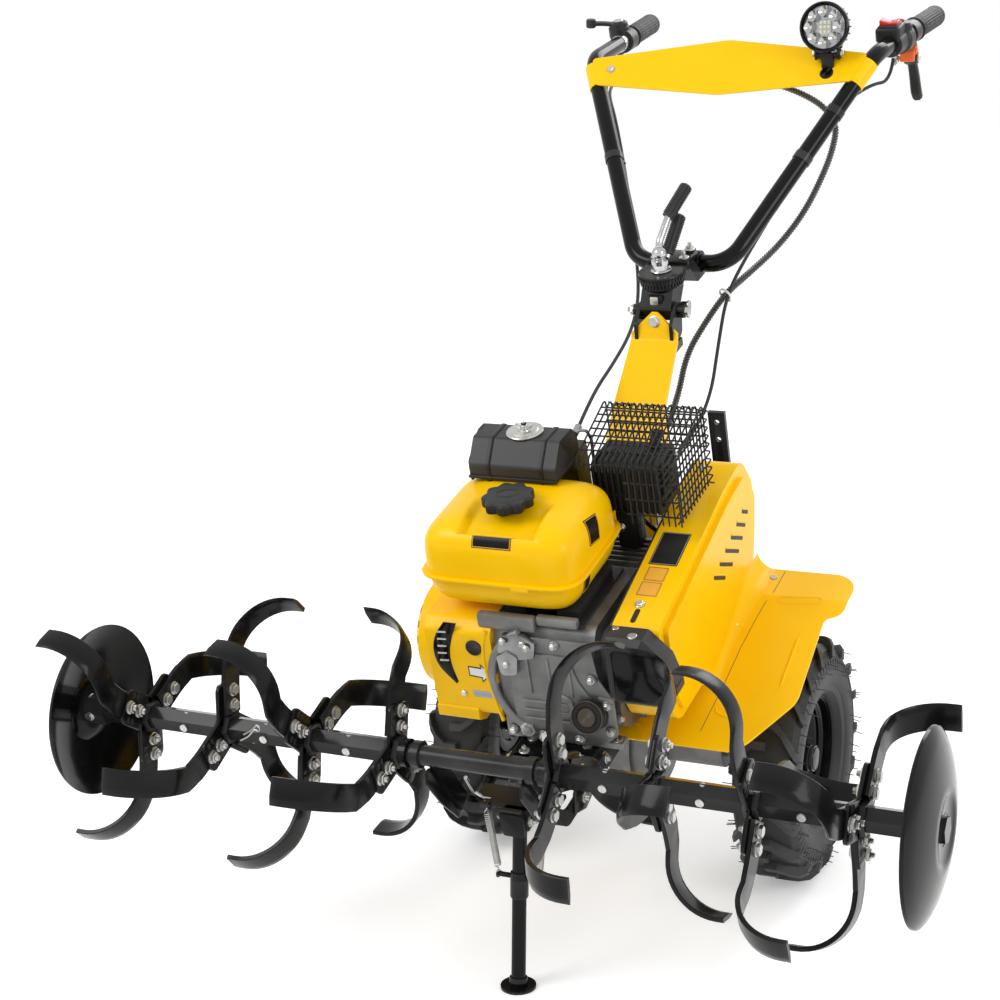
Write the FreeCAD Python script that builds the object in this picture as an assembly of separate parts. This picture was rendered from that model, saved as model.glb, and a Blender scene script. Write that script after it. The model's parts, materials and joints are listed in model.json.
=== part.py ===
import FreeCAD, Part
import os
from math import asin, atan2, cos, degrees, hypot, pi, radians, sin, sqrt, tan

from FreeCAD import Matrix, Vector

os.makedirs("parts", exist_ok=True)

# Rotary tiller, millimetres. Everything is drawn level in the machine's own frame: origin on the
# wheel axle, X to the machine's left, Y to its rear, Z up. save() then leans the whole of it
# forward until the wheels and the foot of the front stand both touch the floor at Z = 0.

# driving dimensions: wheels and axle
tyre_radius = 203.0
tyre_width = 112.0
half_track = 267.0
rim_flange_radius = 116.0
rim_seat_radius = 103.0
rim_half_width = 36.0
rim_sheet = 3.0
axle_radius = 15.0
hub_radius = 23.0
hub_half_length = 28.0
running_fit = 0.05
end_play = 0.5

# front stand
stand_pivot_forward = 469.0
stand_pivot_height = 188.0
foot_forward = 566.0
foot_drop = 63.0
stand_tube_radius = 11.0
foot_plate_radius = 27.0
foot_plate = 4.0

# tine rotor
rotor_forward = 568.0
rotor_height = 354.0
rotor_hex = 33.0
journal_radius = 11.0
carrier_tube_radius = 15.0
carrier_tube_half = 103.0
hub_places = (126.0, 269.0, 411.0, 553.0)
tine_reach = 194.0
tine_width = 40.0
tine_sheet = 7.0
tine_side = 92.0
tine_lag = 20.0
hub_sheet = 6.0
disc_radius = 131.0
disc_place = 637.0
disc_dish = 30.0
disc_sheet = 3.0

# engine
engine_base = 204.0
crank_back = -205.0
engine_front = -310.0
engine_rear = -105.0
block_right = -85.0
block_left = 80.0
block_height = 206.0
tank_length = 270.0
tank_depth = 225.0
tank_height = 142.0
tank_base = 430.0
tank_centre_x = -68.0
tank_front = -312.0

# body panels and covers
sheet = 3.0
cover_inner = 108.0
cover_outer = 190.0
cover_step = 8.0
fender_top = tyre_radius + 73
fender_outer = 333.0
fender_tab = fender_outer + 27

# column, head and handlebar
column_half = 49.0
column_top_half = 40.0
head_pivot_back = 290.0
head_pivot_height = 664.0
swivel_back = 318.0
bar_radius = 15.0
bar_back = 415.0
bar_height = 697.0

clearance = 0.3

# The lean: the floor line touches the tyre's circle and the edge of the foot.
foot_reach = hypot(foot_forward, foot_drop)
lean = asin(tyre_radius / foot_reach) - atan2(foot_drop, foot_forward)


# ---- shapes ----

def box(x0, x1, y0, y1, z0, z1):
    return Part.makeBox(x1 - x0, y1 - y0, z1 - z0, Vector(x0, y0, z0))


def rod(start, end, radius):
    start, end = Vector(*start), Vector(*end)
    return Part.makeCylinder(radius, (end - start).Length, start, end - start)


def rod_x(x0, x1, y, z, radius):
    return rod((x0, y, z), (x1, y, z), radius)


def hex_x(x0, x1, y, z, across):
    corner = across / sqrt(3)
    points = [Vector(x0, y + corner * cos(radians(60 * k + 30)), z + corner * sin(radians(60 * k + 30)))
              for k in range(7)]
    return Part.Face(Part.makePolygon(points)).extrude(Vector(x1 - x0, 0, 0))


def rounded_wire(points, radius, closed=True):
    """Straight runs joined by tangent arcs; radius is one value or one per corner."""
    count = len(points)
    radii = radius if isinstance(radius, (list, tuple)) else [radius] * count
    corners = range(count) if closed else range(1, count - 1)
    edges, ends = [], {}
    for k in corners:
        before, at, after = points[k - 1], points[k], points[(k + 1) % count]
        back = (before - at).normalize()
        ahead = (after - at).normalize()
        half = back.getAngle(ahead) / 2
        if radii[k] <= 0 or abs(half - pi / 2) < 1e-4:
            ends[k] = (at, None, at)
            continue
        reach = radii[k] / tan(half)
        middle = at + (back + ahead).normalize() * (radii[k] / sin(half) - radii[k])
        ends[k] = (at + back * reach, middle, at + ahead * reach)
    if not closed:
        ends[0] = (points[0], None, points[0])
        ends[count - 1] = (points[-1], None, points[-1])
    for k in range(count if closed else count - 1):
        here, there = ends[k], ends[(k + 1) % count]
        if here[1] is not None:
            edges.append(Part.Arc(here[0], here[1], here[2]).toShape())
        if (there[0] - here[2]).Length > 1e-6:
            edges.append(Part.LineSegment(here[2], there[0]).toShape())
    return Part.Wire(edges)


def prism_x(outline, x0, x1, radius=0.0):
    """A flat outline of (y, z) points, with rounded corners, pushed along X."""
    wire = rounded_wire([Vector(x0, y, z) for y, z in outline], radius)
    return Part.Face(wire).extrude(Vector(x1 - x0, 0, 0))


def prism_z(outline, z0, z1, radius=0.0):
    wire = rounded_wire([Vector(x, y, z0) for x, y in outline], radius)
    return Part.Face(wire).extrude(Vector(0, 0, z1 - z0))


def turned_x(profile, y=0.0, z=0.0):
    """A profile of (x, radius) points turned about an X axis through (y, z)."""
    face = Part.Face(Part.makePolygon([Vector(x, y, z + r) for x, r in profile + profile[:1]]))
    return face.revolve(Vector(0, y, z), Vector(1, 0, 0), 360)


def tube_along(points, radius, bend):
    """A round bar along straight runs and tangent arcs."""
    path = rounded_wire([Vector(*p) for p in points], bend, closed=False)
    start = path.OrderedVertexes[0].Point
    heading = Vector(*points[1]) - Vector(*points[0])
    ring = Part.Wire([Part.makeCircle(radius, start, heading)])
    return path.makePipeShell([ring], True, False)


def strip_x(line, x0, x1, thick, radius=0.0):
    """A bent sheet: a (y, z) line, taken from rear to front, given thickness upwards and pushed along X."""
    normals = []
    for k in range(len(line) - 1):
        dy, dz = line[k + 1][0] - line[k][0], line[k + 1][1] - line[k][1]
        normals.append(Vector(-dz, dy, 0).normalize())
    under = []
    for k, (y, z) in enumerate(line):
        a, b = normals[max(k - 1, 0)], normals[min(k, len(normals) - 1)]
        mean = (a + b).normalize()
        reach = thick / mean.dot(a)
        under.append((y - mean.x * reach, z - mean.y * reach))
    inner = [0.0 if k in (0, len(line) - 1) else radius for k in range(len(line))]
    outer = [0.0 if r == 0 else r + thick for r in inner]
    return prism_x(list(line) + under[::-1], x0, x1, outer + inner[::-1])


def mirrored(shape):
    flip = Matrix()
    flip.A11 = -1
    return shape.transformGeometry(flip)


def joined(shapes):
    whole = shapes[0].multiFuse(shapes[1:]) if len(shapes) > 1 else shapes[0]
    return whole.removeSplitter()


def turned(shape, angle, y, z):
    copy = shape.copy()
    copy.rotate(Vector(0, y, z), Vector(1, 0, 0), angle)
    return copy


def save(name, shape):
    standing = shape.copy()
    standing.rotate(Vector(0, 0, 0), Vector(1, 0, 0), degrees(lean))
    standing.translate(Vector(0, 0, tyre_radius))
    standing.exportStep("parts/" + name + ".step")
    solids = standing.Solids
    print(name, len(solids), "solid(s)", round(standing.Volume / 1000), "cm3", standing.isValid())


# ---- wheels ----

def tyre(centre):
    half = tyre_width / 2
    seat = rim_seat_radius + clearance
    side = rim_half_width - rim_sheet - clearance
    profile = [(-side, seat), (side, seat), (side, seat + 16), (half, 150), (half - 1, 172),
               (half - 12, tyre_radius - 5), (half - 26, tyre_radius), (26 - half, tyre_radius),
               (12 - half, tyre_radius - 5), (1 - half, 172), (-half, 150), (-side, seat + 16)]
    return turned_x([(centre + x, r) for x, r in profile])


def rim(centre, outward):
    """Rolled rim, dished disc and hub sleeve of one wheel; outward is +1 or -1."""
    inside = rim_seat_radius - rim_sheet
    edge = rim_half_width
    roll = [(-edge, rim_flange_radius), (-edge, inside), (-edge + 14, inside - 6), (edge - 14, inside - 6),
            (edge, inside), (edge, rim_flange_radius), (edge - rim_sheet, rim_flange_radius),
            (edge - rim_sheet, rim_seat_radius), (rim_sheet - edge, rim_seat_radius),
            (rim_sheet - edge, rim_flange_radius)]
    dish = [(8, inside - 5), (4, inside - 5), (-14, 72), (-14, 50), (2, hub_radius - 1), (6, hub_radius - 1),
            (-10, 52), (-10, 70)]
    sleeve_half = hub_half_length
    sleeve = [(-sleeve_half, axle_radius + running_fit), (sleeve_half, axle_radius + running_fit),
              (sleeve_half, hub_radius), (-sleeve_half, hub_radius)]
    pieces = [turned_x([(centre + outward * x, r) for x, r in ring]) for ring in (roll, dish, sleeve)]
    return joined(pieces)


def wheel_axle():
    """Driven axle through the gearbox, with a shoulder inside and a cap outside each hub."""
    inside = half_track - hub_half_length - end_play
    outside = half_track + hub_half_length + end_play
    pieces = [rod_x(-outside, outside, 0, 0, axle_radius)]
    for side in (-1, 1):
        pieces.append(rod_x(side * (inside - 8), side * inside, 0, 0, axle_radius + 6))
        pieces.append(rod_x(side * outside, side * (outside + 5), 0, 0, axle_radius + 6))
    return joined(pieces)


# ---- gearbox, frame, hitch ----

gearbox_half = 38.0
input_back = 105.0
input_height = 300.0


def gearbox():
    lower, upper = 78.0, 66.0
    spread = hypot(input_back, input_height)
    along = atan2(input_height, input_back)
    side = asin((lower - upper) / spread)
    corners = []
    for angle, radius, y, z in ((along - pi / 2 - side, lower, 0, 0),
                                (along - pi / 2 - side, upper, input_back, input_height),
                                (along + pi / 2 + side, upper, input_back, input_height),
                                (along + pi / 2 + side, lower, 0, 0)):
        corners.append((y + radius * cos(angle), z + radius * sin(angle)))
    web = prism_x(corners, -gearbox_half, gearbox_half)
    pieces = [web, rod_x(-gearbox_half, gearbox_half, 0, 0, lower),
              rod_x(-gearbox_half, gearbox_half, input_back, input_height, upper),
              rod_x(-150, 150, 0, 0, 34), rod_x(-6, 6, 0, 0, lower + 8),
              rod_x(gearbox_half, cover_inner - sheet, input_back, input_height, 30)]
    return joined(pieces).cut(rod_x(-160, 160, 0, 0, axle_radius))


frame_half = 66.0
frame_front = -366.0
frame_drop = 54.0


def engine_frame():
    """Two side plates from the gearbox to the front carrier, and the engine's bed between them."""
    top = engine_base - clearance
    low = engine_base - frame_drop
    plate = [(frame_front, low + 4), (-150, low), (-60, 90), (-20, 110), (30, 190), (0, top),
             (frame_front, top)]
    sides = [prism_x(plate, x, x + 6, [6, 20, 20, 10, 6, 20, 6]) for x in (-frame_half, frame_half - 6)]
    bed = box(-frame_half, frame_half, frame_front + 20, -75, top - 6, top)
    front_tie = box(-frame_half, frame_half, frame_front, frame_front + 6, low + 12, top)
    back_tie = box(-frame_half, frame_half, -84, -78, 96, 150)
    cheeks = [box(gearbox_half, frame_half, -60, -10, 104, 150),
              box(-frame_half, -gearbox_half, -60, -10, 104, 150)]
    return joined(sides + [bed, front_tie, back_tie] + cheeks).cut(gearbox_solid)


hitch_back = 497.0
hitch_bore = 8.0
hitch_height = 150.0


def hitch_bracket():
    """Draw-bar channel bolted behind the gearbox, with the socket for the drag stake and a pin hole."""
    low, high = hitch_height - 25, hitch_height + 25
    bar = box(-20, 20, 60, hitch_back - 14, low + 5,
              high - 5).cut(box(-15, 15, 90, hitch_back, low, high - 10))
    socket = box(-27, 27, hitch_back - 14, hitch_back + 14, low - 15, high + 35)
    slot = box(-stake_width / 2 - clearance, stake_width / 2 + clearance,
               hitch_back - stake_sheet / 2 - clearance,
               hitch_back + stake_sheet / 2 + clearance, low - 30, high + 60)
    jaw = box(-20, 20, hitch_back + 14, hitch_back + 62, high - 5, high + 3)
    lower_jaw = jaw.translated(Vector(0, 0, -42))
    hole = rod((0, hitch_back + 44, low - 60), (0, hitch_back + 44, high + 60), hitch_bore)
    pin = rod((0, hitch_back - 26, high + 18), (0, hitch_back + 26, high + 18), 4)
    bracket = joined([bar, socket, jaw, lower_jaw]).cut(slot).cut(hole).cut(pin).cut(gearbox_solid)
    return bracket


stake_width = 32.0
stake_sheet = 9.0
stake_top = 371.0
stake_length = 430.0


def drag_stake():
    """Depth stake in its raised hole, with its pin."""
    low = stake_top - stake_length
    y = hitch_back
    blade = box(-stake_width / 2, stake_width / 2, y - stake_sheet / 2, y + stake_sheet / 2, low, stake_top)
    pin = rod((0, y - 26, hitch_height + 43), (0, y + 26, hitch_height + 43), 4 - clearance)
    holes = [rod((0, y - 30, stake_top - drop), (0, y + 30, stake_top - drop), 5) for drop in (20, 55)]
    for hole in holes:
        blade = blade.cut(hole)
    return joined([blade, pin])


# ---- engine ----

def engine_block():
    """Crankcase as one plain block with its gear-side cover."""
    top = engine_base + block_height
    case = prism_x([(engine_front, engine_base + 14), (engine_front + 12, engine_base),
                    (engine_rear, engine_base),
                    (engine_rear, top), (engine_front + 20, top), (engine_front, top - 40)],
                   block_right, block_left, [6, 6, 10, 10, 20, 20])
    cover = prism_x([(engine_front + 14, engine_base + 40), (engine_front + 50, engine_base + 12),
                     (engine_rear - 20, engine_base + 12), (engine_rear - 10, top - 30),
                     (engine_front + 30, top - 20)],
                    block_left, cover_inner - sheet, 26)
    shaft = rod_x(cover_inner - sheet, cover_outer - 20, crank_back, engine_base + 106, 12)
    filler = rod((block_left - 12, engine_front + 4, engine_base + 66),
                 (block_left - 12, engine_front - 26, engine_base + 78), 13)
    return joined([case, cover, shaft, filler])


def cylinder():
    """Finned barrel and head, leaning back from the crankcase."""
    barrel = box(-62, 66, engine_rear, engine_rear + 96, engine_base + 70, engine_base + 196)
    head = box(-56, 60, engine_rear + 96, engine_rear + 122, engine_base + 78, engine_base + 188)
    fins = [box(-70, 74, engine_rear + 12 + 14 * k, engine_rear + 15 + 14 * k, engine_base + 62,
                engine_base + 204)
            for k in range(6)]
    return joined([barrel, head] + fins)


shroud_right = -196.0


def fan_shroud():
    """Blower housing on the flywheel side."""
    outline = [(-318, 252), (-300, 238), (-96, 238), (-70, 262), (-70, 396), (-90, 414), (-300, 414),
               (-318, 396)]
    shell = prism_x(outline, shroud_right, block_right, [14, 14, 24, 24, 30, 30, 18, 14])
    lip = prism_x([(-322, 238), (-300, 226), (-110, 226), (-84, 248), (-84, 260), (-322, 258)],
                  shroud_right, block_right - 40, [6, 10, 10, 8, 4, 4])
    return joined([shell, lip])


def recoil_cover():
    """Round starter cover on the outer face of the blower housing."""
    y, z = crank_back, engine_base + 118
    drum = turned_x([(shroud_right, 0), (shroud_right, 92), (shroud_right - 34, 86), (shroud_right - 46, 66),
                     (shroud_right - 46, 0)], y, z)
    return drum.cut(rod_x(shroud_right - 60, shroud_right - 38, y, z, 40))


def fuel_tank():
    base = tank_base
    seam = base + 52
    x0, x1 = tank_centre_x - tank_length / 2, tank_centre_x + tank_length / 2
    y0, y1 = tank_front, tank_front + tank_depth
    plan = [(x0 + 8, y0 + 8), (x1 - 8, y0 + 8), (x1 - 8, y1 - 8), (x0 + 8, y1 - 8)]
    body = prism_z(plan, base, base + tank_height, 42)
    upper = [e for e in body.Edges if min(v.Z for v in e.Vertexes) > base + tank_height - 1]
    body = body.makeFillet(26, upper)
    body = body.makeFillet(16, [e for e in body.Edges if max(v.Z for v in e.Vertexes) < base + 1])
    flange = prism_z([(x0, y0), (x1, y0), (x1, y1), (x0, y1)], seam, seam + 4, 46)
    ears = box(x0 - 16, x0 + 30, -200, -160, seam, seam + 4)
    neck = rod((cap_x, cap_y, base + 90), (cap_x, cap_y, base + tank_height + 2), 30)
    return joined([body, flange, ears, neck])


def tank_bracket():
    """Plate on the crankcase with two raised pads under the tank."""
    top = engine_base + block_height
    plate = box(-82, 62, -292, -122, top, top + 5)
    pads = [box(x, x + 34, -280, -140, top, tank_base) for x in (-70, 16)]
    return joined([plate] + pads)


cap_x = -62.0
cap_y = -228.0
cap_radius = 41.0


def fuel_cap():
    base = tank_base + tank_height + 2
    cap = rod((cap_x, cap_y, base), (cap_x, cap_y, base + 22), cap_radius)
    for k in range(9):
        angle = 2 * pi * k / 9
        reach = cap_radius + 5
        notch = rod((cap_x + reach * cos(angle), cap_y + reach * sin(angle), base - 1),
                    (cap_x + reach * cos(angle), cap_y + reach * sin(angle), base + 30), 9)
        cap = cap.cut(notch)
    return cap


def air_cleaner():
    """Filter box behind the tank, with its elbow to the cylinder head."""
    low, high = 560.0, 630.0
    case = prism_x([(-152, low), (-58, low), (-58, high - 18), (-76, high), (-122, high), (-152, high - 34)],
                   -162, -16, [6, 10, 12, 8, 8, 10])
    plate = rod((-84, -98, high), (-84, -98, high + 3), 28)
    stud = rod((-84, -98, high), (-84, -98, high + 16), 4)
    elbow = box(-60, -20, -66, -20, 408, low + 20)
    return joined([case, plate, stud, elbow]).cut(box(-220, 90, tank_front, tank_front + tank_depth + 3, 300,
                                                      574))


muffler_right = 8.0
muffler_left = 124.0


def muffler():
    low, high = 486.0, 578.0
    can = prism_x([(-84, low), (6, low), (6, high), (-84, high)], muffler_right, muffler_left, 16)
    flange = box(30, 64, -60, -20, 408, low + 20)
    return joined([can, flange])


def muffler_guard():
    """Wire basket round the silencer: rings front to back joined by long wires."""
    x0, x1, y0, y1, low, high = 4.0, 164.0, -114.0, 20.0, 492.0, 634.0
    wire = 2.0
    slope = 34.0
    count = 8
    above_tank = tank_base + tank_height + 6
    bars = []
    for k in range(count):
        x = x0 + (x1 - x0) * k / (count - 1)
        front_end = low if x > tank_centre_x + tank_length / 2 + 8 else above_tank
        bars.append(tube_along([(x, y0, front_end), (x, y0, high - slope), (x, y1, high), (x, y1, low)],
                               wire, [0, 9, 9, 0]))
    inset = 2.6
    for y, z in ((y0 + inset, 586.0), (-72, high - 23.4 - inset), (-20, high - 10.2 - inset),
                 (y1 - inset, 600.0),
                 (y1 - inset, 548.0)):
        bars.append(rod((x0 - 3, y, z), (x1 + 3, y, z), wire))
    for x in (x0 + 34, x0 + 90):
        bars.append(rod((x, 6, 549.5), (x, y1 - inset, 549.5), wire))
    return joined(bars)


# ---- covers and fenders ----

case_outline = [(-292, 300), (-262, 236), (60, 226), (100, 254), (138, 352), (158, 424), (116, 488),
                (20, 480), (-292, 421)]
case_corners = [60, 40, 60, 50, 120, 36, 34, 200, 12]


def shrunk_case(share, x0, x1):
    """The case's outline drawn in towards its middle by a share of its size, pushed from x0 to x1."""
    middle_y, middle_z = -70.0, 344.0
    outline = [(middle_y + (y - middle_y) * (1 - share / 2), middle_z + (z - middle_z) * (1 - share))
               for y, z in case_outline]
    return prism_x(outline, x0, x1, [r * 0.8 for r in case_corners])


def belt_cover():
    """Long case over the belt and its two pulleys, with a raised middle panel."""
    shoulder = cover_outer - cover_step
    shell = joined([prism_x(case_outline, cover_inner, shoulder, case_corners),
                    shrunk_case(0.14, shoulder, cover_outer)])
    inside = joined([shrunk_case(0.05, cover_inner - 1, shoulder - sheet),
                     shrunk_case(0.2, shoulder - sheet, cover_outer - sheet)])
    return shell.cut(inside)


def belt_back_plate():
    """Dark plate behind the belt case, between it and the engine and gearbox."""
    plate = prism_x(case_outline, cover_inner - sheet, cover_inner, case_corners)
    return plate.cut(rod_x(0, 300, crank_back, engine_base + 106, 20))


def belt_end_box():
    """Black faceted box on the front of the belt case."""
    x = cover_inner - sheet
    face = [(x, 416), (x + 6, 422), (x + 62, 422), (x + 96, 388), (x + 108, 348), (x + 108, 332),
            (x + 84, 306),
            (x + 12, 306), (x, 318)]
    front, back = -332.0, -292.0
    wire = Part.makePolygon([Vector(u, front, v) for u, v in face + face[:1]])
    case = Part.Face(wire).extrude(Vector(0, back - front, 0))
    rim = [e for e in case.Edges if max(v.Y for v in e.Vertexes) < front + 1]
    return case.makeChamfer(9, rim)


left_fender_line = [(129, fender_top), (50, fender_top), (-254, 186)]
tab_plan = [(fender_tab, 130), (fender_tab, 26), (fender_outer, 14)]
tab_corners = [45, 26, 14]


def left_apron():
    """Level continuation of the left mudguard's slope, inwards under the belt case to the engine frame."""
    (knee_y, knee_z), (front_y, front_z) = left_fender_line[-2:]
    share = 0.62
    upper = (knee_y + (front_y - knee_y) * share, knee_z + (front_z - knee_z) * share)
    apron = strip_x([upper, (front_y, front_z)], frame_half + clearance, cover_outer + 6, sheet)
    return apron.cut(box(0, cover_inner - 1, crank_back - 8, 0, 0, 400))


def left_fender():
    """Left mudguard: a flat top with a rounded tab, then a slope ahead of the tyre to a round corner."""
    skin = strip_x(left_fender_line, 112, fender_tab, sheet, 30)
    plan = [(112, 130)] + tab_plan + [(fender_outer, -150), (262, -260), (112, -260)]
    skin = skin.common(prism_z(plan, 0, 500, [0] + tab_corners + [50, 70, 0]))
    beside_panel = box(100, cover_outer + clearance, -68, 400, 0, 600)
    beside_shoulder = box(100, cover_outer - cover_step + clearance, -400, -68, 0, 600)
    return joined([skin.cut(beside_panel).cut(beside_shoulder), left_apron()])


def right_fender():
    """Right mudguard: the same top, ending behind the blower housing, reaching inwards to the gearbox."""
    skin = strip_x([(129, fender_top), (-50, fender_top)], gearbox_half, fender_tab, sheet)
    plan = [(gearbox_half, 130)] + tab_plan + [(fender_outer, -51), (gearbox_half, -51)]
    skin = skin.common(prism_z(plan, 0, 500, [0] + tab_corners + [24, 0]))
    cylinder_clear = box(0, 84, -100, 20, 200, 400)
    return mirrored(skin.cut(cylinder_clear)).cut(gearbox_solid)


# ---- column ----

def column():
    """Pressed channel from the gearbox up to the head, open behind, with a gabled front plate."""
    outline = [(40, 352), (70, 470), (160, 557), (253, 628), (266, 672), (270, 671), (274, 640), (280, 600),
               (190, 500), (150, 440), (130, 352)]
    shell = prism_x(outline, -column_half, column_half, [4, 60, 60, 12, 1, 1, 4, 8, 60, 60, 4])
    hollow = prism_x([(48, 340), (78, 470), (166, 551), (256, 622), (269.5, 668), (269.5, 700), (320, 700),
                      (320, 340)],
                     -column_half + 4, column_half - 4, [0, 56, 56, 6, 0, 0, 0, 0])
    shell = shell.cut(hollow)
    taper = column_half - column_top_half
    for side in (-1, 1):
        wedge = prism_z([(side * column_half, 60), (side * (column_half + 20), 60),
                         (side * (column_half + 20), 400), (side * (column_half - taper * 1.6), 400)], 300,
                         800)
        gable = Part.Face(Part.makePolygon([Vector(side * u, 100, v) for u, v in
                                            ((4, 672), (60, 620), (60, 700), (4, 700), (4, 672))]))
        shell = shell.cut(wedge).cut(gable.extrude(Vector(0, 300, 0)))
    foot = box(-46, 46, 62, 138, 336, 376)
    return joined([shell, foot]).cut(gearbox_solid)


def column_clevis():
    """Forked casting inside the column's top that holds the tilt bolt."""
    y, z = head_pivot_back, head_pivot_height
    outline = [(y - 40, z - 58), (y + 6, z - 40), (y + 16, z), (y + 8, z + 14), (y - 8, z + 14),
               (y - 36, z - 10)]
    ears = [prism_x(outline, x, x + 6, [2, 12, 10, 8, 4, 8]) for x in (-34, 28)]
    web = box(-36, 36, y - 40, y - 2, z - 60, z - 46)
    return joined(ears + [web]).cut(rod_x(-60, 60, y, z, 6 + running_fit)).cut(column_solid)


# ---- front carrier and stand ----

arm_place = 66.0


def front_carrier():
    """Cross tube that carries the tine rotor, its two swept arms, and the stand's bracket."""
    y, z = -rotor_forward, rotor_height
    tube = rod_x(-carrier_tube_half, carrier_tube_half, y, z, carrier_tube_radius)
    path = [(y, z), (y + 62, z - 128), (y + 112, z - 172), (frame_front + 60, 182)]
    width = 13.0
    pieces = [tube]
    for x in (-arm_place - 6, arm_place):
        outline = band(path, width)
        pieces.append(prism_x(outline, x, x + 6, [12, 30, 30, 6, 6, 30, 30, 12]))
    tie = box(-arm_place, arm_place, -482, -440, 208, 214)
    ears = [box(x - 7, x + 7, -490, -474, 208, 214) for x in (-47, 47)]
    cheeks = [prism_x([(-492, 208), (-440, 208), (-452, 170), (-486, 168)], x, x + 4, [0, 0, 8, 8])
              for x in (-17, 13)]
    stop = box(-17, 17, -496, -490, 172, 214)
    pieces += [tie] + ears + cheeks + [stop]
    whole = joined(pieces)
    pin = rod_x(-17, 17, -stand_pivot_forward, stand_pivot_height, 5)
    return joined([whole, pin]).cut(rod_x(-200, 200, y, z, journal_radius + running_fit))


def band(line, half_width):
    """The outline of a flat bar of constant width along a (y, z) line."""
    left, right = [], []
    for k, (y, z) in enumerate(line):
        y0, z0 = line[max(k - 1, 0)]
        y1, z1 = line[min(k + 1, len(line) - 1)]
        length = hypot(y1 - y0, z1 - z0)
        ny, nz = -(z1 - z0) / length, (y1 - y0) / length
        left.append((y + ny * half_width, z + nz * half_width))
        right.append((y - ny * half_width, z - nz * half_width))
    return left + right[::-1]


def stand_leg():
    """Leg, spring lugs and foot plate; the plate lies flat on the floor."""
    top = (0, -stand_pivot_forward, stand_pivot_height)
    foot = (0, -foot_forward, -foot_drop)
    run = Vector(*foot) - Vector(*top)
    leg = rod(top, Vector(*foot) - run * 0.004, stand_tube_radius)
    eye = rod_x(-12.7, 12.7, top[1], top[2], 13)
    lug_at = Vector(*top) + run * 0.36
    lugs = rod_x(-34, 34, lug_at.y, lug_at.z, 4)
    collar = rod(tuple(lug_at - run * 0.03), tuple(lug_at + run * 0.05), stand_tube_radius + 2.5)
    up = Vector(0, sin(lean), cos(lean))
    floor_point = Vector(0, -foot_forward, -foot_drop)
    plate = Part.makeCylinder(foot_plate_radius, foot_plate, floor_point, up)
    below = Part.makeCylinder(80, 60, floor_point, up * -1)
    whole = joined([leg, eye, lugs, collar, plate]).cut(below)
    return whole.cut(rod_x(-20, 20, top[1], top[2], 5 + running_fit))


def stand_springs():
    """The two tension springs beside the leg, as closed bars of their outer diameter."""
    top = Vector(0, -stand_pivot_forward, stand_pivot_height)
    run = Vector(0, -foot_forward, -foot_drop) - top
    lug_at = top + run * 0.36
    bars = []
    for side in (-1, 1):
        upper = Vector(side * 47, -482, 208 - 1.6)
        lower = Vector(side * 33, lug_at.y, lug_at.z + 4 + clearance)
        bars.append(Part.makeCylinder(6, (upper - lower).Length, lower, upper - lower))
    return Part.makeCompound(bars)


# ---- tine rotor ----

rotor_y = -rotor_forward
rotor_z = rotor_height


def rotor_shaft():
    """Journal in the cross tube, hexagon outside it, and collars beside the tube."""
    pieces = [rod_x(-carrier_tube_half - 20, carrier_tube_half + 20, rotor_y, rotor_z, journal_radius)]
    for side in (-1, 1):
        inner = side * (carrier_tube_half + end_play)
        pieces.append(hex_x(inner, side * (disc_place + disc_dish), rotor_y, rotor_z, rotor_hex))
        pieces.append(rod_x(inner, side * (carrier_tube_half + 12), rotor_y, rotor_z, 21))
    return joined(pieces)


def tine(side):
    """One blade at the angle 0 (towards the rear): a flat leg that turns sideways at its end."""
    bend = 58.0
    half = tine_sheet / 2
    x0 = side * (hub_sheet / 2 + half)
    root, reach = 25.0, tine_reach - half
    outer = [Vector(x0 - side * half, rotor_y + root, 0), Vector(x0 - side * half, rotor_y + reach + half, 0),
             Vector(side * tine_side, rotor_y + reach + half, 0),
             Vector(side * tine_side, rotor_y + reach - half, 0),
             Vector(x0 + side * half, rotor_y + reach - half, 0), Vector(x0 + side * half, rotor_y + root, 0)]
    outline = rounded_wire(outer, [0, bend, 0, 0, bend - tine_sheet, 0])
    flat = Part.Face(outline).extrude(Vector(0, 0, 240))
    flat.translate(Vector(0, 0, rotor_z - 120))
    # the sickle: an arc that falls back from the leg's heading by tine_lag at the tip
    tip = radians(-tine_lag)
    steps = [(0.12, 0.0), (0.45, 0.1), (0.75, 0.42), (1.02, 1.0)]
    middle = [(rotor_y + tine_reach * share * cos(tip * fall), rotor_z + tine_reach * share * sin(tip * fall))
              for share, fall in steps]
    sickle = prism_x(band(middle, tine_width / 2), -200, 200, [0, 60, 60, 0, 0, 60, 60, 0])
    return flat.common(sickle)


tine_shapes = {}
tine_angles = {
    "tine_set_right_4": (-hub_places[3], ((113, -1), (233, -1), (353, 1))),
    "tine_set_right_3": (-hub_places[2], ((52, 1), (172, -1), (292, 1))),
    "tine_set_right_2": (-hub_places[1], ((107, -1), (227, -1), (347, 1))),
    "tine_set_right_1": (-hub_places[0], ((44, -1), (164, -1), (284, -1))),
    "tine_set_left_1": (hub_places[0], ((70, 1), (190, 1), (310, 1))),
    "tine_set_left_2": (hub_places[1], ((25, -1), (145, 1), (265, 1))),
    "tine_set_left_3": (hub_places[2], ((88, -1), (208, 1), (328, 1))),
    "tine_set_left_4": (hub_places[3], ((11, 1), (131, -1), (251, -1))),
}


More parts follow.
